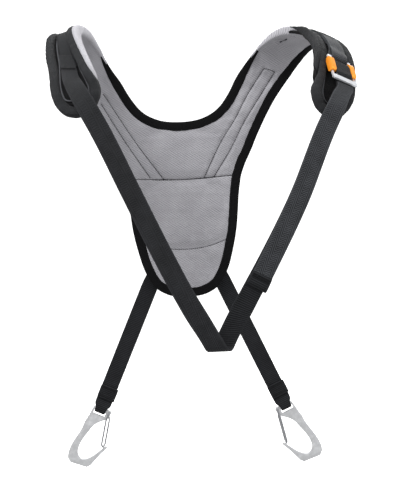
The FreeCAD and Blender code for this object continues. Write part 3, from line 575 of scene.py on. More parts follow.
def unrolled(grid):
    """Flat pattern of a pad: x and z where it lies flat, and each further row laid down by its lengths."""
    rows, cols = grid.shape[:2]
    first, last = grid[:, 0], grid[:, -1]
    flat_a, flat_b = first[:, [0, 2]].copy(), last[:, [0, 2]].copy()
    for r in range(1, rows):
        if max(abs(first[r, 1] - first[0, 1]), abs(last[r, 1] - last[0, 1])) < 2.5:
            continue
        base = flat_b[r - 1] - flat_a[r - 1]
        size = np.linalg.norm(base)
        base = base / size
        ahead = np.array([-base[1], base[0]])
        if r > 1 and ahead @ (flat_a[r - 1] - flat_a[r - 2] + flat_b[r - 1] - flat_b[r - 2]) < 0:
            ahead = -ahead
        for flat, point in ((flat_a, first[r]), (flat_b, last[r])):
            to_a, to_b = np.linalg.norm(point - first[r - 1]), np.linalg.norm(point - last[r - 1])
            x = (to_a ** 2 - to_b ** 2 + size ** 2) / (2 * size)
            flat[r] = flat_a[r - 1] + base * x + ahead * math.sqrt(max(to_a ** 2 - x ** 2, 0.0))
    share = np.linspace(0, 1, cols)[None, :, None]
    return mix(flat_a[:, None, :], flat_b[:, None, :], share)


def pad(name, grids):
    """A closed pad from grids of (inner points, outer points, rows that join the other half at column 0)."""
    points, faces, tones, flat = [], [], [], []
    for inner, outer, joined in grids:
        rows, cols = inner.shape[:2]
        base = sum(len(p) for p in points)
        points += [inner.reshape(-1, 3), outer.reshape(-1, 3)]
        pattern = inner[:, :, [0, 2]] if joined == 0 else unrolled(inner)
        flat += [pattern.reshape(-1, 2)] * 2

        def at(layer, r, c, base=base, rows=rows, cols=cols):
            return base + layer * rows * cols + r * cols + c

        for r in range(rows - 1):
            for c in range(cols - 1):
                for layer in (INNER, OUTER):
                    faces.append((at(layer, r, c), at(layer, r, c + 1),
                                  at(layer, r + 1, c + 1), at(layer, r + 1, c)))
                    tones.append(layer)
            for c in (0, cols - 1):
                if c == 0 and r < joined:
                    continue
                faces.append((at(0, r, c), at(0, r + 1, c), at(1, r + 1, c), at(1, r, c)))
                tones.append(SIDE)
        for c in range(cols - 1):
            for r in (0, rows - 1):
                faces.append((at(0, r, c), at(0, r, c + 1), at(1, r, c + 1), at(1, r, c)))
                tones.append(SIDE)
    obj = build(name, np.concatenate(points), faces, tones, np.concatenate(flat))
    with remade(obj.data) as work:
        bmesh.ops.remove_doubles(work, verts=work.verts, dist=0.25 * MM)
        bmesh.ops.recalc_face_normals(work, faces=work.faces)
    return obj


def inflate(obj, inner_cap, outer_cap):
    """Blows the pad up with its rim held, and keeps each point within its cap of where it was."""
    held, sides = set(), {}
    for face in obj.data.polygons:
        for v in face.vertices:
            if face.material_index == SIDE:
                held.add(v)
            else:
                sides[v] = face.material_index
    start, facing = coords(obj), normals(obj)
    group = obj.vertex_groups.new(name="held")
    group.add(sorted(held), 1.0, "REPLACE")
    mod = obj.modifiers.new("Cloth", "CLOTH")
    for key, value in dict(
            quality=6, mass=0.12, tension_stiffness=14.0, compression_stiffness=14.0,
            shear_stiffness=6.0, bending_stiffness=0.35, use_pressure=True,
            uniform_pressure_force=4.0, vertex_group_mass="held", shrink_min=-0.03).items():
        setattr(mod.settings, key, value)
    mod.settings.effector_weights.gravity = 0.0
    mod.point_cache.frame_start, mod.point_cache.frame_end = 1, SIM_FRAMES
    for number in range(1, SIM_FRAMES + 1):
        SCENE.frame_set(number)
    shown = obj.evaluated_get(bpy.context.evaluated_depsgraph_get())
    moved = coords(shown) - start
    obj.modifiers.remove(mod)
    SCENE.frame_set(1)
    out = np.sum(moved * facing, axis=1, keepdims=True)
    slide = moved - facing * out
    cap = np.array([[inner_cap if sides.get(i, OUTER) == INNER else outer_cap] for i in range(len(start))])
    out = cap * np.tanh(out / cap)
    reach = np.linalg.norm(slide, axis=1, keepdims=True)
    slide = slide * (SLIDE_CAP * np.tanh(reach / SLIDE_CAP) / np.maximum(reach, 1e-6))
    rim_tree = KDTree(len(held))
    for v in held:
        rim_tree.insert(start[v], v)
    rim_tree.balance()
    # the tape holds the cloth down beside the rim
    free = ease((np.array([rim_tree.find(p)[2] for p in start]) - 3.0) / 9.0)[:, None]
    set_coords(obj, start + (facing * out + slide) * free)
    smooth = obj.modifiers.new("Subdivision", "SUBSURF")
    smooth.levels = smooth.render_levels = 1
    return bake_modifiers(obj)


def split(obj, names):
    """Two pieces from one pad: its skin side, and the rest."""
    result = []
    for name, kept in zip(names, ((INNER,), (OUTER, SIDE))):
        mesh = obj.data.copy()
        with remade(mesh) as work:
            gone = [f for f in work.faces if f.material_index not in kept]
            bmesh.ops.delete(work, geom=gone, context="FACES")
            for face in work.faces:
                face.material_index = 0
                face.smooth = True
        mesh.name = name
        piece = bpy.data.objects.new(name, mesh)
        SCENE.collection.objects.link(piece)
        result.append(piece)
    bpy.data.objects.remove(obj)
    return result


RIM_INNER, FLAT_INNER = 1.1, 0.2  # height of a pad's inner face at its rim and away from it
RIM_FADE = 9.0
TUCK = 4.0  # how far a pad reaches under its border
FOAM_OVER = 0.9


def sheet_pair(start, end, normal, cols, thin, top):
    """Inner and outer grids between two edge lines; both are thin at the edges."""
    share = np.linspace(0, 1, cols)
    inner = mix(start[:, None, :], end[:, None, :], share[None, :, None])
    wide = np.linalg.norm(end - start, axis=1)[:, None]
    full = ease(np.minimum(share, 1 - share)[None, :] * wide / RIM_FADE)
    heights = mix(RIM_INNER, FLAT_INNER, full), mix(thin[:, None], top[:, None], full)
    return [inner + normal[:, None, :] * height[..., None] for height in heights]


def upper_grid(half, cols=19, joint_reach=60):
    """Grids of one half of the upper field. Its first rows start on the line where the halves join."""
    t = np.linspace(0, 21.3, 112)
    tucked = np.maximum(neck_inset(t) - TUCK, 1.5)
    start = half.neck(t) + half.way(t, "neck") * tucked[:, None]
    below_neck = t < 2
    top_z = 88.5 - (neck_inset(2.0) - TUCK)
    start[below_neck, :2] = 0.0
    start[below_neck, 2] = 0.6 + (top_z - 0.6) * t[below_neck] / 2
    end = half.outer(t) + half.way(t, "outer") * (BAND - TUCK)
    end[:, 2] -= 1.0 * ease((0.8 - t) / 0.8)
    top = foam_top(t) + FOAM_OVER
    inner, outer = sheet_pair(start, end, half.normal(t), cols, level(t, [(7, 3.6), (9, 6.5)]), top)
    joined = int(np.sum(below_neck))
    rows = slice(joined + 1)
    # the first columns meet the other half on the centre line, so they aren't thinned there
    wide = np.linalg.norm(end - start, axis=1)[rows, None]
    near_joint = np.arange(cols)[None, :] * wide / (cols - 1) < joint_reach
    for grid, value in ((inner, np.full(len(t), FLAT_INNER)), (outer, top)):
        grid[rows, :, 1] = np.where(near_joint, value[rows, None], grid[rows, :, 1])
    fade = ease((np.arange(joined + 1) - joined + 6) / 6.0)[:, None]
    inner[rows, :3, 1] = mix(inner[rows, :3, 1], RIM_INNER, fade)
    return inner, outer, joined


def edge_xz(k, inset):
    """Points on the panel's outline, a little inside it; k counts from its right shoulder round the foot."""
    points = [(x, 0.0, z) for x, z in PANEL_EDGE] + [(0.0, 0.0, PANEL_FOOT[1])]
    points += [(-x, 0.0, z) for x, z in reversed(PANEL_EDGE)]
    k = many(k)
    at = spline(points, k)
    at[:, 2] -= np.minimum(k, 0.0) * 40.0
    run = unit(spline(points, k + 0.15) - spline(points, k - 0.15))
    inward = np.stack([run[:, 2], run[:, 1] * 0, -run[:, 0]], axis=1)
    return at + inward * inset


def panel_grid(first, last, top_mid, low_mid):
    """Grid of a back-panel pad between side positions first and last, with its middle heights."""
    rows, cols = 30, 37
    side = edge_xz(np.linspace(first, last, rows), BAND - TUCK)
    share = np.linspace(0, 1, rows)
    mid = top_mid + (low_mid - top_mid) * share
    u = np.linspace(-1, 1, cols)
    x = side[:, 0][:, None] * u[None, :]
    z = side[:, 2][:, None] + (mid - side[:, 2])[:, None] * (1 - u[None, :] ** 2)
    from_edge = np.minimum((1 - np.abs(u))[None, :] * side[:, 0][:, None],
                           np.minimum(share, 1 - share)[:, None] * abs(low_mid - top_mid))
    full = ease(from_edge / RIM_FADE)
    heights = mix(RIM_INNER, FLAT_INNER, full), mix(4.0, 10.3, full)
    return [np.stack([x, height, z], axis=-1) for height in heights] + [0]


def seam_at(height):
    """Where the side of the panel passes a height, as a position on PANEL_EDGE."""
    trial = np.linspace(0, 7.5, 400)
    at = edge_xz(trial, BAND - TUCK)
    return float(np.interp(-height, -at[:, 2], trial))


WEB_LINES = [
    [(-115, 137), (-65, 55), (-28, 2)], [(-119, 122), (-85, 63), (-49, 6)],
    [(130, 164), (108, 133), (81, 87), (62, 59), (33, 4)],
    [(146, 158), (123, 124), (92, 77), (77, 49), (47, 3)]]


def dense(line, step):
    points = np.array([(x, 0.0, z) for x, z in line], float)
    fine = spline(points, np.linspace(0, len(points) - 1, 80))
    return respace(fine, step)[0]


FLAT_DEPTH = 3.0  # the lining lies in front of this depth


def press(obj, line, depth, spread):
    """A sewn channel: the surface near a line on the back sinks away from the skin side."""
    points = coords(obj)
    route = dense(line, 1.0)
    flat = points[:, [0, 2]]
    near = np.full(len(points), 1e9)
    spot = np.zeros(len(points))
    for start in range(0, len(route), 64):
        gap = np.linalg.norm(flat[:, None, :] - route[None, start:start + 64, [0, 2]], axis=2)
        least = gap.argmin(axis=1)
        value = gap[np.arange(len(points)), least]
        better = value < near
        near[better] = value[better]
        spot[better] = least[better] + start
    sink = depth * np.exp(-(near / spread) ** 2) * (1 + 0.25 * np.sin(spot * 0.9))
    points[:, 1] += np.where(points[:, 1] < FLAT_DEPTH, sink, 0.0)
    set_coords(obj, points)


def field(name, grids, inner_cap):
    """One sewn field as its lining and its shell."""
    whole = inflate(pad(name + "_pad", grids), inner_cap, 0.8)
    return split(whole, (name + "_lining_pad", name + "_shell_pad"))


seam_low = seam_at(-90.2)
upper_lining, upper_shell = field("upper", [upper_grid(RIGHT), upper_grid(LEFT)], 2.4)
middle_lining, middle_shell = field("middle", [panel_grid(-0.15, seam_low + 0.02, 2.6, -104.9)], 2.6)
lower_lining, lower_shell = field("lower", [panel_grid(seam_low - 0.02, 7.55, -103.6, -166.0)], 2.6)
LININGS = (upper_lining, middle_lining, lower_lining)
for line in WEB_LINES:
    press(upper_lining, line, 1.8, 2.3)
for piece in LININGS:
    points = coords(piece)
    flat = points[:, 1] < FLAT_DEPTH
    points[:, 1] += np.where(flat, 0.45 * wobble(points, 9.0, 1.0) + 0.3 * wobble(points, 3.6, 4.0), 0.0)
    set_coords(piece, points)
# the two dents where the right arm's lining is tacked down
tack_t, tack_share = np.array([10.5, 12.1]), np.array([0.21, 0.17])
tack = mix(RIGHT.neck(tack_t), RIGHT.outer(tack_t), tack_share[:, None])
tack_up = RIGHT.normal(tack_t)
points = coords(upper_lining)
for spot, up in zip(tack, tack_up):
    away = np.linalg.norm(points - spot, axis=1)
    points += up * (3.8 * np.exp(-(away / 5.0) ** 2) - 1.0 * np.exp(-((away - 10.0) / 3.5) ** 2))[:, None]
set_coords(upper_lining, points)
skin_trees = [BVHTree.FromPolygons([vertex.co.copy() for vertex in piece.data.vertices],
                                   [tuple(face.vertices) for face in piece.data.polygons])
              for piece in LININGS]


def on_skin(x, z):
    """How far back the lining's surface lies behind a point of the back, or None beside it."""
    start = Vector((x * MM, -0.012, z * MM))
    hits = [tree.ray_cast(start, Vector((0, 1, 0)), 0.03)[0] for tree in skin_trees]
    found = [hit.y / MM for hit in hits if hit is not None]
    return min(found) if found else None


# ---- bound and rolled edges
ROW_STEP = 2.5  # spacing of the sections along an edge
PLAIN_HIGH = 12.9  # height of an arm's rolled edge, where it isn't raised
PANEL_HIGH = 4.6  # height of the binding on the panel
UNDER = 0.4  # how far a binding reaches round to the wearer's side


def rim_half(half):
    """Edge path of one half from the neck side of its arm, round the tab, down to the upper seam."""
    up = np.arange(8.4, 21.01, 0.1)
    down = np.arange(21.0, -0.01, -0.1)
    end = [half.neck(k)[0] for k in (20.0, 21.0, 22.0)] + [half.outer(k)[0] for k in (22.0, 21.0, 20.0)]
    bow = spline(end, np.linspace(1, 4, 24)[1:-1])
    path = np.concatenate([half.neck(up), bow, half.outer(down)])
    at = np.concatenate([up, np.full(len(bow), 21.6), down])
    place = np.concatenate([np.full(len(up), -1.0), np.linspace(-1, 1, len(bow)), np.full(len(down), 1.0)])
    bow_normal = np.repeat(half.normal(21.5), len(bow), axis=0)
    normal = np.concatenate([half.normal(up), bow_normal, half.normal(down)])
    return path, at, place, normal


def rim_path():
    """The whole outer edge in one line: right arm, foot of the panel, left arm."""
    k = np.linspace(0, 16, 130)[1:-1]
    foot = (edge_xz(k, 0.0), 0 * k, 0 * k + 1, np.repeat(FLAT_NORMAL[None], len(k), axis=0))
    left = [values[::-1] for values in rim_half(LEFT)]
    return [np.concatenate(values) for values in zip(rim_half(RIGHT), foot, left)]


path, at, place, normal = rim_path()
path, at, place, normal = respace(path, ROW_STEP, at, place, normal)
path = soften(path, 3)
normal = unit(soften(normal, 4))
run = unit(np.gradient(path, axis=0))
inward = unit(np.cross(run, normal))
# the panel's foot tells which way is in
foot_row = int(np.argmin(path[:, 2]))
if inward[foot_row, 2] < 0:
    inward = -inward
neck_side = ease((-place + 0.2) / 1.0)
arm = ease((at - 6.5) / 3.5)
tab = ease((at - 18.3) / 1.4)
half_wide = mix(BAND / 2, mix(5.4, BAND / 2, tab), neck_side)
offset = mix(BAND / 2, mix(10.4, BAND / 2, tab), neck_side)
top = mix(PANEL_HIGH, PLAIN_HIGH, arm)
top = top - ease((at - 20.4) / 1.4) * 2.2
low = mix(-UNDER, mix(8.0, -UNDER, tab), neck_side)
# on the left arm the neck side stands higher and the outer roll further out, as in the photo
left_arm = ease(-path[:, 0] / 30.0) * ease((at - 12.4) / 2.6)
rise = 7.0 * left_arm * neck_side * ease((20.4 - at) / 2.0)
low = low + 0.85 * rise
top = top + rise
offset = offset - 4.0 * left_arm * (1 - neck_side) * ease((19.5 - at) / 2.5)
fade = ease((at - 8.4) / 1.4)
top = np.where(neck_side > 0.5, low + (top - low) * np.clip(fade, 0.25, 1.0), top)
bump = (0.35 * np.sin(lengths(path) * 0.55) + 0.3 * wobble(path, 7.0)) * (0.15 + 0.85 * arm)
centre = path + inward * offset[:, None] + normal * ((top + low) / 2)[:, None]
power = mix(3.4, 2.5, arm)
rim = loft("edge_rim", centre, inward, normal, half_wide + 0.2 * bump, (top - low) / 2 + 0.3 * bump * arm,
           power, RIM_COUNT)
# the last two vertices are the hubs of the ends
roughen(rim, 0.08 + 0.22 * np.concatenate([np.repeat(arm, RIM_COUNT), [1.0, 1.0]]), 4.0, 2.0)
# tape on the panel, softer shell cloth on the arms
is_cloth = np.append(at > np.where(place > 0, 12.2, 8.2), False)
arm_face = [int(is_cloth[f.vertices[0] // RIM_COUNT]) for f in rim.data.polygons]
dress(rim, BINDING, RIM)
rim.data.polygons.foreach_set("material_index", arm_face)
rim_nodes = [side + part for side in ("left_", "right_")
             for part in ("side_binding", "tab_binding", "outer_roll", "inner_roll")]
own(rim, "yoke", "binding_black", "base_binding", *rim_nodes)


def neck_line():
    """The neck's edge from one arm to the other, its way in, its normal and its stations."""
    t_left = np.arange(8.6, 2.0, -0.1)
    t_right = np.arange(2.0, 8.61, 0.1)
    sides = [(half.neck(t), half.way(t, "neck"), half.normal(t), t)
             for half, t in ((LEFT, t_left), (RIGHT, t_right))]
    edge, ways, up, stations = (np.concatenate(values) for values in zip(*sides))
    edge, ways, up, stations = respace(edge, ROW_STEP, ways, up, stations)
    near = np.exp(-(edge[:, 0] / 22.0) ** 2)[:, None]
    edge = mix(soften(edge, 6), soften(edge, 60), near)
    across = np.cross(up, np.gradient(edge, axis=0))
    across *= np.sign(np.sum(across * ways, axis=1))[:, None]
    return edge, unit(soften(unit(across), 4)), up, stations


neck_edge, neck_ways, neck_up, neck_at = neck_line()


def neck_tape():
    edge, ways, up, stations = neck_edge, neck_ways, neck_up, neck_at
    wide = level(stations, [(6.0, BAND), (8.6, 4.4)])
    high = level(stations, [(6.5, PANEL_HIGH), (8.6, 7.6)])
    bump = 0.1 * np.sin(lengths(edge) * 0.6)
    line = edge + ways * (wide / 2)[:, None] + up * ((high - UNDER) / 2)[:, None]
    piece = loft("neck_tape", line, ways, up, wide / 2, (high + UNDER) / 2 + 0.15 * bump, 3.4, 22)
    return own(dress(roughen(piece, 0.08, 4.0, 3.0), BINDING), "yoke", "binding_black", "neck_binding")


def neck_roll(name, half, first, last, mat, slot, *nodes, full_width=3.3, blunt=0.45, high=PLAIN_HIGH,
              behind=0.0, crease=0.35, run_out=1.6):
    """A rolled edge along the arm's neck side; `behind` lifts its start towards the outer face."""
    t = np.arange(first, last, 0.1)
    edge, ways, up, t = respace(half.neck(t), ROW_STEP, half.way(t, "neck"), half.normal(t), t)
    ways, up = unit(ways), unit(up)
    grow = ease((t - first) / 2.0) * ease((last - t) / run_out)
    taller = (high - PLAIN_HIGH) * ease((t - 12.4) / 2.6) * ease((last - t) / 2.0)
    half_high = (PLAIN_HIGH * (blunt + (1 - blunt) * grow) + taller) / 2
    half_width = level(t, [(11.0, min(full_width, 3.8)), (14.0, full_width)]) * (blunt + (1 - blunt) * grow)
    soft = 0.25 * np.sin(lengths(edge) * 0.32) + crease * wobble(edge, 8.0, 5.0)
    line = edge + ways * (half_width - 0.4)[:, None] + up * (half_high - 0.4)[:, None]
    line += up * (behind * (1 - ease((t - first) / 2.4)))[:, None]
    line += ways * (8.0 * (1 - ease((last - t) / run_out)))[:, None]
    piece = loft(name, line, ways, up, half_width + 0.2 * soft, half_high + 0.3 * soft, 2.5, 24)
    return own(dress(roughen(piece, crease * 0.9, 3.2, 1.5), mat), "yoke", slot, *nodes, fill=0.8)


neck_tape()
# the left rolled lining takes the lighter knit, a painted highlight on its lit roll
neck_roll("left_rolled_lining", LEFT, 7.8, 20.0, RIM_LINING_PAINTED_HIGHLIGHT, "lining_grey", "left_neck_roll",
          full_width=5.6, high=20.0)
neck_roll("right_rolled_lining", RIGHT, 7.8, 13.3, LINING, "lining_grey", "right_neck_roll", crease=0.45)
neck_roll("right_dark_edge", RIGHT, 12.3, 19.6, RIM, "binding_black",
          full_width=3.8, blunt=0.12, behind=10.0, run_out=2.6)


def piping(name, half):
    """A thin lighter cord where the valley's cloth meets the rolled edges."""
    t = np.arange(9.5, 21.0, 0.1)
    outer = half.outer(t) + half.way(t, "outer") * (BAND + 0.6)
    neck = half.neck(t) + half.way(t, "neck") * level(t, [(18.5, 16.2), (20.0, BAND + 0.6)])[:, None]
    path = np.concatenate([outer, neck[::-1]])
    up = np.concatenate([half.normal(t), half.normal(t)[::-1]])
    height = np.concatenate([foam_top(t), foam_top(t)[::-1]]) + 1.7
    path, up, height = respace(path, ROW_STEP, up, height)
    path = soften(path, 6)
    up = unit(soften(up, 3))
    run = unit(np.gradient(path, axis=0))
    side = unit(np.cross(run, up))
    return dress(loft(name, path + up * height[:, None], side, up, 1.1, 0.9, 2.0, 8), PIPING)


for name, half in (("left", LEFT), ("right", RIGHT)):
    own(piping(name + "_valley_piping", half), "yoke", "binding_black")

# ---- webbing
FLAT = 12.1
LEAN = math.radians(24.2)
BENDS = {"left": np.array([-60.8, 11.7, -165.3]), "right": np.array([56.3, 11.7, -159.3])}
LENGTHS = {"left": 195.0, "right": 208.0}
EYE_RADIUS = 5.1
UP_Y = np.array([0.0, 1.0, 0.0])
UP_Z = np.array([0.0, 0.0, 1.0])
FRONT = np.array([0.0, -1.0, 0.0])
BACK = -FRONT


def v(*parts):
    return np.array(parts, float)


def hanging(name):
    """A back strap's side, the ways down and across it, and the place of its carabiner's bar."""
    side = -1.0 if name == "left" else 1.0
    down = v(side * math.sin(LEAN), 0, -math.cos(LEAN))
    wide = v(math.cos(LEAN), 0, side * math.sin(LEAN))
    return side, down, wide, BENDS[name] + down * LENGTHS[name]


# each long web: its arm, side, the back strap it runs on into, its rise where they cross, its last station
WEBS = ((RIGHT, 1.0, "left", 0.0, 15.5), (LEFT, -1.0, "right", 2.4, 18.0))
WEB_STEP = 0.5
WEB_REST = 1.75  # gap between the foam's top and a long web, which the shell fills
# mid-back spots: x towards the web's own side, z, and the share of the rise
MID_SPOTS = ((86, 80, 0.0), (63, 41, 0.0), (40, 3, 0.5), (20, -30, 1.0), (-2, -66, 1.0), (-28, -111, 0.5))
# the loop round the carabiner's bar: distance above the bar, then width and depth in front and behind
LOOP_ENDS = ((16.0, 25.4, 0.0, WEB, 2.1), (9.5, 25.0, -3.0, 25.0, 4.0),
             (5.6, 21.4, -EYE_RADIUS, 21.4, EYE_RADIUS), (3.4, 17.8, -EYE_RADIUS, 17.8, EYE_RADIUS))


def on_arm(half, side, t, height):
    """Centre line of a long web on its arm: places, ways across and normals."""
    return half.centre(t, foam_top(t) + height, level(t, [(8.0, 0.0), (10.0, 1.4 + 0.2 * side)]))


def web_stations(last):
    return np.arange(last, 4.99, -WEB_STEP)


def back_web(half, side, foot, lift, last):
    """One strap in one piece: from the arm across the back, over its foot and down to its loop."""
    centre, across, normal = on_arm(half, side, web_stations(last), WEB_REST + WEB_THICK / 2)
    line = list(zip(centre, across, normal))
    spots = [v(x * side, FLAT, z) for x, z, _ in MID_SPOTS]
    ends = [centre[-1]] + spots + [BENDS[foot]]
    for before, p, after, (_, _, share) in zip(ends, spots, ends[2:], MID_SPOTS):
        run = after - before
        run[1] = 0.0
        line.append((p + UP_Y * (lift * share), unit(v(-run[2], 0, run[0])) * side, UP_Y))
    _, down, wide, bar = hanging(foot)
    bend, full = BENDS[foot], LENGTHS[foot]
    wide = wide if wide @ line[-1][1] > 0 else -wide
    line.append((bend + UP_Y * 0.3 - down * 6, wide, UP_Y))
    lap = full - 38.0
    reaches = [(4.0, WEB, 0.0)]
    reaches += [(x, WEB, 0.35 * math.sin(x * 0.045 + side)) for x in np.arange(20.0, lap - 6, 16.0)]
    reaches += [(lap, WEB, 0.0)] + [(full - above, width, shift) for above, width, shift, _, _ in LOOP_ENDS]
    for reach, width, shift in reaches:
        line.append((bend + down * reach + UP_Y * shift, wide, UP_Y, width))
    for step in range(9):
        swing = math.pi * step / 8
        way = v(0, -math.cos(swing), 0) + down * math.sin(swing)
        line.append((bar + way * EYE_RADIUS, wide, -way, 15.5 + 1.5 * math.cos(swing) ** 2))
    for above, _, _, width, shift in reversed(LOOP_ENDS):
        line.append((bend + down * (full - above) + UP_Y * shift, wide, -UP_Y, width))
    line.append((bend + down * (lap + 0.5) + UP_Y * 2.1, wide, -UP_Y, WEB))
    return line, down


web_lines = {}
for half, side, foot, lift, last in WEBS:
    name = "right" if half is RIGHT else "left"
    web_lines[foot], down = back_web(half, side, foot, lift, last)
    web = dress(strap(name + "_long_web", web_lines[foot]), WEBBING)
    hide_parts(name + "_shoulder_web", foot + "_back_strap")
    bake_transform(web)

# ---- buckle axes, load strap and tail
TOP_BAR = v(213, -165, 134)
ALONG = unit(v(2, -25, -33.6))
ACROSS = v(0.85, 0.43, -0.30)
ACROSS = unit(ACROSS - ALONG * (ACROSS @ ALONG))
OUT = np.cross(ACROSS, -ALONG)


def buckle_point(down, lift):
    return TOP_BAR + ALONG * down + OUT * lift


def turn(down, radius, first, last, steps):
    line = []
    for step in range(steps + 1):
        angle = math.radians(first + (last - first) * step / steps)
        way = OUT * math.cos(angle) + ALONG * math.sin(angle)
        line.append((TOP_BAR + ALONG * down + way * radius, ACROSS, way))
    return line


def square(point, side, normal, width=WEB):
    side = unit(side)
    normal = normal - side * (normal @ side)
    return (np.asarray(point, float), side, unit(normal), width)


def arm_spots(half, stations, height, shift):
    t = np.array(stations, float)
    centre, across, normal = half.centre(t, foam_top(t) + height, shift)
    return list(zip(centre, across, normal))


ANCHOR_AT = np.arange(13.0, 16.1, 0.5)
anchor = arm_spots(RIGHT, ANCHOR_AT, 4.5, 1.5)
anchor += [(c, a, -w) for c, a, w in turn(0.0, 1.8 + 0.35 + WEB_THICK / 2, 180.0, 0.0, 8)]
anchor += [(c, a, -n) for c, a, n in arm_spots(RIGHT, ANCHOR_AT[::-1], 6.5, 1.5)]
loop = dress(strap("anchor_web", anchor, 1.5), TWILL)
own(loop, "yoke", "webbing", "anchor_loop")

load = arm_spots(LEFT, (17.0, 17.5, 18.0, 18.5), 4.5, 3.0) + arm_spots(LEFT, (19.0,), 5.9, 3.0)
load += [
    square((-126.5, -212.5, 106), v(-0.92, 0.30, -0.20), v(-0.16, -0.84, 0.50)),
    square((-114.5, -231.5, 84), v(-0.90, 0.16, -0.40), v(-0.10, -0.96, 0.20)),
    square((-94, -240.5, 45), v(-0.90, 0.05, -0.43), FRONT),
    square((-60, -246, -30), v(-0.905, 0, -0.425), FRONT),
    square((-26.5, -250.5, -104), v(-0.905, 0, -0.425), FRONT),
    square((3, -252.5, -165), v(-0.905, 0, -0.425), FRONT)]
for step in range(9):
    swing = math.pi * step / 8
    spot = v(34 + 12.7 * step / 8, -245 - 8 * math.cos(swing), -221 - 8 * math.sin(swing))
    normal_here = v(0, -math.cos(swing), -math.sin(swing))
    load.append((spot, v(-1, 0, 0), normal_here, WEB / math.cos(math.radians(25.5))))
load += [
    square((78.5, -239.5, -165), v(-0.87, -0.03, 0.49), BACK),
    square((101, -240.5, -127), v(-0.87, -0.06, 0.49), BACK),
    square((143, -238, -51), v(-0.88, -0.12, 0.45), v(0.05, 1, 0))]
# the upper run, which the tail lies on: place, way across, normal
UPPER_RUN = [(v(186, -228, 43), v(-0.87, -0.22, 0.44), v(-0.10, 0.95, -0.1)),
             (v(195.5, -223.5, 60), v(-0.86, -0.30, 0.42), v(-0.25, 0.85, -0.3)),
             (v(206.5, -207.5, 80), v(-0.855, -0.40, 0.33), v(-0.45, 0.72, -0.5))]
load += [square(*spot) for spot in UPPER_RUN]
load += [(buckle_point(d, -2.6), -ACROSS, -OUT) for d in (49.0, 44.0, 36.0, 24.0, 13.0)]
BAR_RADIUS = 1.4
for centre, side, way in turn(9.0 + BAR_RADIUS, BAR_RADIUS + 0.3 + WEB_THICK / 2, 180.0, 360.0, 8):
    load.append((centre, -side, way))
load += [(buckle_point(d, h), -ACROSS, OUT) for d, h in ((24.0, 2.9), (32.5, 2.7))]
load.append((buckle_point(35.3, 1.0), -ACROSS, unit(OUT * 5.0 + ALONG * 3.2)))
load += [(buckle_point(d, h), -ACROSS, OUT) for d, h in ((38.2, -0.6), (45.4, -0.6))]


chest = dress(strap("chest_web", load, 1.5, True), SMOOTH, WEBBING)
# one half of each ring is the strap's front face; the last two vertices are the hubs of its ends
chest_rings = len(chest.data.vertices) - 2
chest.data.polygons.foreach_set("material_index", [
    int(f.vertices[0] % STRAP_COUNT >= STRAP_COUNT // 2 and f.vertices[0] < chest_rings)
    for f in chest.data.polygons])
own(chest, "yoke", "webbing", "load_strap")

lap = WEB_THICK + 0.5
TAIL_END = v(95.5, -240.3, -140.5)
tail = [(buckle_point(46.9, -0.6), ACROSS, OUT), (buckle_point(50.0, -0.5), ACROSS, OUT)]
tail += [square(p - n * lap, -a, -n) for p, a, n in reversed(UPPER_RUN)]
tail += [
    square(v(143.5, -238, -51) + FRONT * lap, v(0.88, 0.12, -0.45), v(-0.05, -1, 0)),
    square(v(103, -240.5, -127) + FRONT * lap, v(0.87, 0.06, -0.49), FRONT),
    square(TAIL_END + FRONT * lap, v(0.87, 0.05, -0.49), FRONT)]
tail_web = dress(strap("tail_web", tail, 2.0, True), TWILL)
own(tail_web, "strap_tail", "webbing", "strap_tail")

# the tail's end is folded back on itself and sewn
stop_across = unit(v(0.87, 0.0, -0.49))
stop_down = unit(v(-0.49, 0.0, -0.87))
FOLD_BULK = 1.7
stop_top = TAIL_END + FRONT * (lap + WEB_THICK / 2 - FOLD_BULK)
stop = [(stop_top + stop_down * reach, stop_across, FRONT, width) for reach, width in (
    (-2.6, 24.6), (-1.6, 25.6), (3.0, 26.4), (12.0, 27.0), (16.2, 26.8), (17.4, 25.4))]
stop_fold = dress(strap("tail_fold", stop, 1.0, True), WEBBING)
points = coords(stop_fold)
reach_down = (points - stop_top) @ stop_down
bulk = np.where((points - stop_top) @ FRONT > 0, FOLD_BULK, -0.8)[:, None]
points += FRONT * bulk * ease((reach_down + 2.8) / 3.0)[:, None] * ease((17.6 - reach_down) / 2.4)[:, None]
set_coords(stop_fold, points)
own(stop_fold, "strap_tail", "webbing", "tail_stop")

# ---- sewn laps of the back straps
LAP_REST = 0.35  # gap between a back strap and its lap
for name in BENDS:
    _, down, wide, bar = hanging(name)
    lap_line = []
    for above, width in ((37.4, 26.6), (36.4, 27.4), (27.0, 27.6), (18.6, 27.4), (17.4, 26.8)):
        spot = BENDS[name] + down * (LENGTHS[name] - above) + FRONT * (WEB_THICK + LAP_REST) + wide * 0.8
        lap_line.append((spot, wide, FRONT, width))
    lap_web = dress(strap(name + "_sewn_lap", lap_line, 1.5, True), WEBBING)
    own(lap_web, name + "_back_strap", "webbing", name + "_loop_lap")

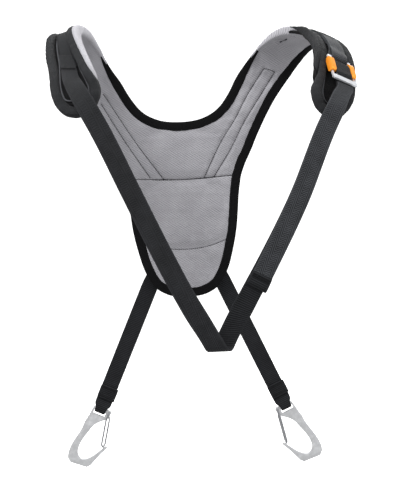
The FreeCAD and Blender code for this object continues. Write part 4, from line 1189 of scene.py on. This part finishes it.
# ---- stitches
class Stitches:
    """Short raised threads, gathered into one mesh."""

    def __init__(self):
        self.points = []
        self.faces = []

    def add(self, first, second, up, radius=0.28, lift=0.12):
        first, second, up = (np.asarray(p, float) for p in (first, second, up))
        run = unit(second - first)
        side = unit(np.cross(run, up))
        up = unit(np.cross(side, run))
        base = len(self.points)
        for share, size, sink in ((0.0, 0.35, -0.5), (0.22, 1.0, 0.2), (0.78, 1.0, 0.2), (1.0, 0.35, -0.5)):
            spot = mix(first, second, share) + up * (lift + radius * sink)
            for k in range(5):
                angle = 2 * math.pi * k / 5
                self.points.append(spot + side * math.cos(angle) * radius * size
                                   + up * math.sin(angle) * radius * size)
        for ring in range(3):
            for k in range(5):
                nxt = (k + 1) % 5
                a = base + ring * 5
                self.faces.append((a + k, a + nxt, a + 5 + nxt, a + 5 + k))
        self.faces.append(tuple(base + k for k in reversed(range(5))))
        self.faces.append(tuple(base + 15 + k for k in range(5)))

    def line(self, path, ups, pitch=3.0, share=0.72, radius=0.28, lift=0.12):
        path, ups = respace(np.asarray(path, float), pitch, np.asarray(ups, float))
        for index in range(len(path) - 1):
            self.add(path[index], mix(path[index], path[index + 1], share), ups[index], radius, lift)

    def bar(self, middle, across, up, width, tall=2.6):
        """A bartack: a dense zigzag across a strap."""
        down = unit(np.cross(across, up))
        turns = int(width / 0.85)
        for index in range(turns):
            x0, x1 = (-width / 2 + width * k / turns for k in (index, index + 1))
            flip = 1 if index % 2 else -1
            self.add(middle + across * x0 + down * flip * tall / 2,
                     middle + across * x1 - down * flip * tall / 2, up, 0.3)

    def box(self, middle, across, down, up, width, tall):
        """A sewn box with its two diagonals."""
        corner = [middle + across * x * width / 2 + down * y * tall / 2
                  for x, y in ((-1, -1), (1, -1), (1, 1), (-1, 1))]
        for a, b in ((0, 1), (1, 2), (2, 3), (3, 0), (0, 2), (1, 3)):
            self.line([corner[a], corner[b]], [up, up], 2.6)

    def make(self, name, mat):
        return dress(build(name, self.points, self.faces), mat)


grey_sewing = Stitches()


def sew_lining(line, pitch, share, radius, lift):
    """A seam along a line of the back, laid on the lining."""
    route = [(x, on_skin(x, z), z) for x, _, z in dense(line, 1.5)]
    route = np.array([spot for spot in route if spot[1] is not None])
    if len(route) > 2:
        grey_sewing.line(route, np.repeat(FRONT[None], len(route), axis=0), pitch, share, radius, lift)


for line in WEB_LINES:
    sew_lining(line, 3.1, 0.92, 0.52, 0.14)
sew_lining([(130, 164), (138, 161), (146, 158)], 3.0, 0.92, 0.52, 0.14)
for line in ([(-77, 5.2), (-28, 2.0), (28, 2.0), (77, 5.4)],
             [(-70, -88.6), (-35, -100.6), (0, -104.2), (35, -100.6), (70, -88.6)]):
    sew_lining(line, 3.0, 0.9, 0.45, 0.2)
across_tack = unit(tack[1] - tack[0])
for first, last, size in ((0.0, 5.0, 0.55), (5.0, 13.0, 0.25), (13.0, 18.0, 0.55)):
    for shift in (-0.4, 0.4):
        ends = [tack[0] + across_tack * (away - 1.0) - tack_up[0] + UP_Z * shift for away in (first, last)]
        grey_sewing.line(ends, [-tack_up[0], -tack_up[1]], 1.6, 0.9, size, 0.3)
own(grey_sewing.make("lining_stitches", GREY_THREAD), "yoke", "lining_grey")

BORDER_SEAM, WEB_SEAM = 11.6, 10.6  # from the border's outer edge, and from a web's middle
dark_sewing = Stitches()
# one row along the inner border of the binding, on both faces, over the flat panel and the neck
for line, ways, ups, kept in ((path, inward, normal, (at < 7.2) & (place > 0)),
                              (neck_edge, neck_ways, neck_up, neck_at < 7.0)):
    line, ways, ups = line[kept], ways[kept], ups[kept]
    for face, height in ((-1, -UNDER - 0.15), (1, PANEL_HIGH + 0.15)):
        dark_sewing.line(line + ways * BORDER_SEAM + ups * height, ups * face, 3.0, radius=0.3, lift=0.1)
# the webbing's edges are sewn to the back
for half, side, foot, lift, last in WEBS:
    t = np.arange(last - 0.6, 5.0, -0.25)
    centre, across, normal = on_arm(half, side, t, WEB_REST + WEB_THICK + 0.02)
    skip = len(web_stations(last))
    low_part = web_lines[foot][skip:skip + len(MID_SPOTS) + 1]
    for beside in (-WEB_SEAM, WEB_SEAM):
        low_route = [p[0] + UP_Y * 0.95 + p[1] * beside for p in low_part]
        route = np.concatenate([centre + across * beside, low_route])
        ups = np.concatenate([normal, [UP_Y for p in low_part]])
        fine = np.linspace(0, len(route) - 1, (len(route) - 1) * 6 + 1)
        dark_sewing.line(spline(route, fine), unit(spline(ups, fine)), 3.2, radius=0.3, lift=0.12)


TACK_WIDTH = 23.0
for half, t, height, shift in ((LEFT, 18.4, 6.6, 3.0), (RIGHT, 13.15, 7.5, 1.5), (RIGHT, 14.3, 7.5, 1.5),
                               (RIGHT, 12.3, 3.7, 1.5)):
    dark_sewing.bar(*arm_spots(half, (t,), height, shift)[0], TACK_WIDTH)
own(dark_sewing.make("yoke_stitches", THREAD), "yoke", "binding_black")

for name in BENDS:
    _, down, wide, bar = hanging(name)
    sewing = Stitches()
    for face, height in ((FRONT, WEB_THICK * 1.5 + 0.2), (UP_Y, 2.1 + WEB_THICK / 2)):
        first, second, middle = (BENDS[name] + down * (LENGTHS[name] - above) + face * height
                                 for above in (34.5, 20.5, 27.5))
        sewing.bar(first, wide, face, 22.0, 2.8)
        sewing.bar(second, wide, face, 22.0, 2.8)
        sewing.box(middle, wide, down, face, 21.0, 9.0)
    own(sewing.make(name + "_lap_stitches", THREAD), name + "_back_strap", "webbing")

sewing = Stitches()
on_fold = stop_top + FRONT * 2.6
for reach in (2.4, 5.0):
    sewing.bar(on_fold + stop_down * reach, stop_across, FRONT, TACK_WIDTH, 2.0)
sewing.line([on_fold + stop_down * 13.6 + stop_across * x for x in (-11.5, 11.5)], [FRONT, FRONT], 2.6)
own(sewing.make("tail_stitches", THREAD), "strap_tail", "webbing")


# ---- metal parts
def rounded(node, name, mat, slot, body, width, segments=3, shape=None):
    """The CAD part's own shape with its sharp edges rounded."""
    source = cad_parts[node]
    mesh = source.data.copy()
    mesh.name = name
    obj = bpy.data.objects.new(name, mesh)
    SCENE.collection.objects.link(obj)
    obj.matrix_world = source.matrix_world.copy()
    with remade(mesh) as work:
        bmesh.ops.remove_doubles(work, verts=work.verts, dist=0.003 * MM)
        bmesh.ops.dissolve_limit(work, angle_limit=math.radians(1.0), verts=work.verts, edges=work.edges)
    bevel = obj.modifiers.new("Bevel", "BEVEL")
    bevel.width = width * MM
    bevel.segments = segments
    bevel.limit_method = "ANGLE"
    bevel.angle_limit = math.radians(35)
    bevel.harden_normals = False
    bake_modifiers(obj)
    obj.data.polygons.foreach_set("use_smooth", [True] * len(obj.data.polygons))
    obj.data.set_sharp_from_angle(angle=math.radians(38))
    if shape:
        world = np.array(obj.matrix_world)
        points = (coords(obj) * MM) @ world[:3, :3].T + world[:3, 3]
        points = (shape(points / MM) * MM - world[:3, 3]) @ np.linalg.inv(world[:3, :3]).T
        set_coords(obj, points / MM)
    return own(dress(obj, mat), body, slot, node)


GATE_TURN = {"left": 0.5, "right": 0.25}
GATE_LONG = 52.6
GATE_RADIUS = 1.3


def gate_wire(name):
    """A gate's wire loop, turned a little about its length so that both its wires show."""
    side, down, wide, bar = hanging(name)
    span = 4.4
    half = [(13.6, 1.2, 0.0), (13.6, span, 0.0), (14.6, span, -4.5), (23.6, span, -50.0),
            (24.2, 0.0, -GATE_LONG)]
    local = np.array(half + [(x, -y, z) for x, y, z in reversed(half[:-1])])
    local = soften(respace(local, 0.7)[0], 4)
    share = -local[:, 2] / GATE_LONG
    turned = ease((share - 0.06) / 0.2) * (1 - 0.5 * ease((share - 0.9) / 0.1))
    local[:, 0] += GATE_TURN[name] * local[:, 1] * turned
    centre = bar + wide * (-side * local[:, 0])[:, None] + UP_Y * local[:, 1:2] - down * local[:, 2:]
    run = unit(np.gradient(centre, axis=0))
    across = unit(wide - run * (run @ wide)[:, None])
    up = np.cross(run, across)
    return dress(loft(name + "_gate_wire", centre, across, up, GATE_RADIUS, GATE_RADIUS, 2.0, 12), WIRE)


def higher_cheeks(points):
    """Draws the cheeks of the orange bar up a little along the rails."""
    away = (points - TOP_BAR) @ ALONG
    moved = np.interp(away, [0.0, 5.5, 8.0, 14.0, 33.0, 40.0], [0.0, 3.9, 8.0, 14.0, 30.2, 40.0])
    return points + ALONG * (moved - away)[:, None]


for name in BENDS:
    rounded(name + "_carabiner", name + "_carabiner_body", CARABINER, "carabiner_alloy",
            name + "_carabiner", 1.2)
    own(gate_wire(name), name + "_gate", "gate_wire", name + "_gate")
rounded("buckle_frame", "buckle_silver_frame", SILVER, "buckle_silver", "yoke", 0.6)
rounded("buckle_slider", "buckle_orange_bar", ORANGE, "buckle_orange", "buckle_slider", 1.9, 4,
        higher_cheeks)

for piece, node in zip(LININGS, ("upper_lining", "mid_lining", "low_lining")):
    own(dress(piece, LINING), "yoke", "lining_grey", node, fill=0.5)
# the shell pads take the black cloth with its painted valley shade
for piece, *nodes in ((upper_shell, "upper_shell", "upper_foam"), (middle_shell, "lower_shell", "mid_foam"),
                      (lower_shell, "low_foam")):
    own(dress(piece, SHELL_WITH_PAINTED_SHADE), "yoke", "shell_black", *nodes, fill=0.6)

# ---- stage, light and camera
floor_mat = Shade("stage_pale", rough=0.9)
floor_mat.finish((0.92, 0.92, 0.92, 1.0))
floor_mat.skin.inputs["Emission Color"].default_value = (1.0, 1.0, 1.0, 1.0)
floor_mat.skin.inputs["Emission Strength"].default_value = 0.55
# a round bowl: flat floor, rounded foot, wall
FLOOR_Z, WALL_TOP = -500.0, 4200.0
FLAT_REACH, CORNER = 2600.0, 600.0
SIDES = 64
profile = [(FLAT_REACH, FLOOR_Z)]
for step in range(1, 13):
    angle = math.pi / 2 * step / 12
    profile.append((FLAT_REACH + CORNER * math.sin(angle), FLOOR_Z + CORNER * (1 - math.cos(angle))))
profile.append((FLAT_REACH + CORNER, WALL_TOP))
turns = [(math.cos(2 * math.pi * k / SIDES), math.sin(2 * math.pi * k / SIDES)) for k in range(SIDES)]
stage_points = [(x * away, y * away, z) for away, z in profile for x, y in turns]
stage_points.append((0.0, 0.0, FLOOR_Z))
stage_faces = []
for i in range(len(profile) - 1):
    for k in range(SIDES):
        a, b = SIDES * i + k, SIDES * i + (k + 1) % SIDES
        stage_faces.append((a, b, b + SIDES, a + SIDES))
stage_faces += [(k, len(stage_points) - 1, (k + 1) % SIDES) for k in range(SIDES)]
floor = dress(build("stage_floor", stage_points, stage_faces), floor_mat.mat)
floor.visible_diffuse = floor.visible_glossy = floor.visible_shadow = False
floor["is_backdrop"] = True

world = bpy.data.worlds.new("soft_white")
SCENE.world = world
world.use_nodes = True
world.node_tree.nodes["Background"].inputs[0].default_value = (1.0, 1.0, 1.0, 1.0)
world.node_tree.nodes["Background"].inputs[1].default_value = 0.78


def lamp(name, where, target, power, size):
    data = bpy.data.lights.new(name, "AREA")
    data.energy = power
    data.size = size
    obj = bpy.data.objects.new(name, data)
    SCENE.collection.objects.link(obj)
    way = Vector(where) - Vector(target)
    obj.rotation_euler = way.to_track_quat("Z", "Y").to_euler()
    obj.location = where
    return obj


lamp("key", (-0.9, -0.8, 1.7), (0, -0.1, 0), 44.0, 0.9)
lamp("fill", (1.4, -1.2, 0.4), (0, -0.1, -0.1), 13.0, 1.4)
lamp("rim", (0.3, 1.0, 1.2), (0, 0, 0), 26.0, 1.2)

cam_data = bpy.data.cameras.new("camera")
cam_data.sensor_fit = "VERTICAL"
cam_data.sensor_height = 36.0
cam_data.lens = 57.02
cam_data.clip_end = 20.0
camera = bpy.data.objects.new("camera", cam_data)
SCENE.collection.objects.link(camera)
CAMERA_AT = (0.0215, -1.2, -0.1062)
roll = math.radians(2.5)
right_way = Vector((math.cos(roll), 0, -math.sin(roll)))
up_way = Vector((math.sin(roll), 0, math.cos(roll)))
back_way = right_way.cross(up_way)
camera.matrix_world = Matrix([*zip(right_way, up_way, back_way, CAMERA_AT), (0, 0, 0, 1)])
SCENE.camera = camera
SCENE.view_settings.view_transform = "Standard"

low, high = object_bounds()
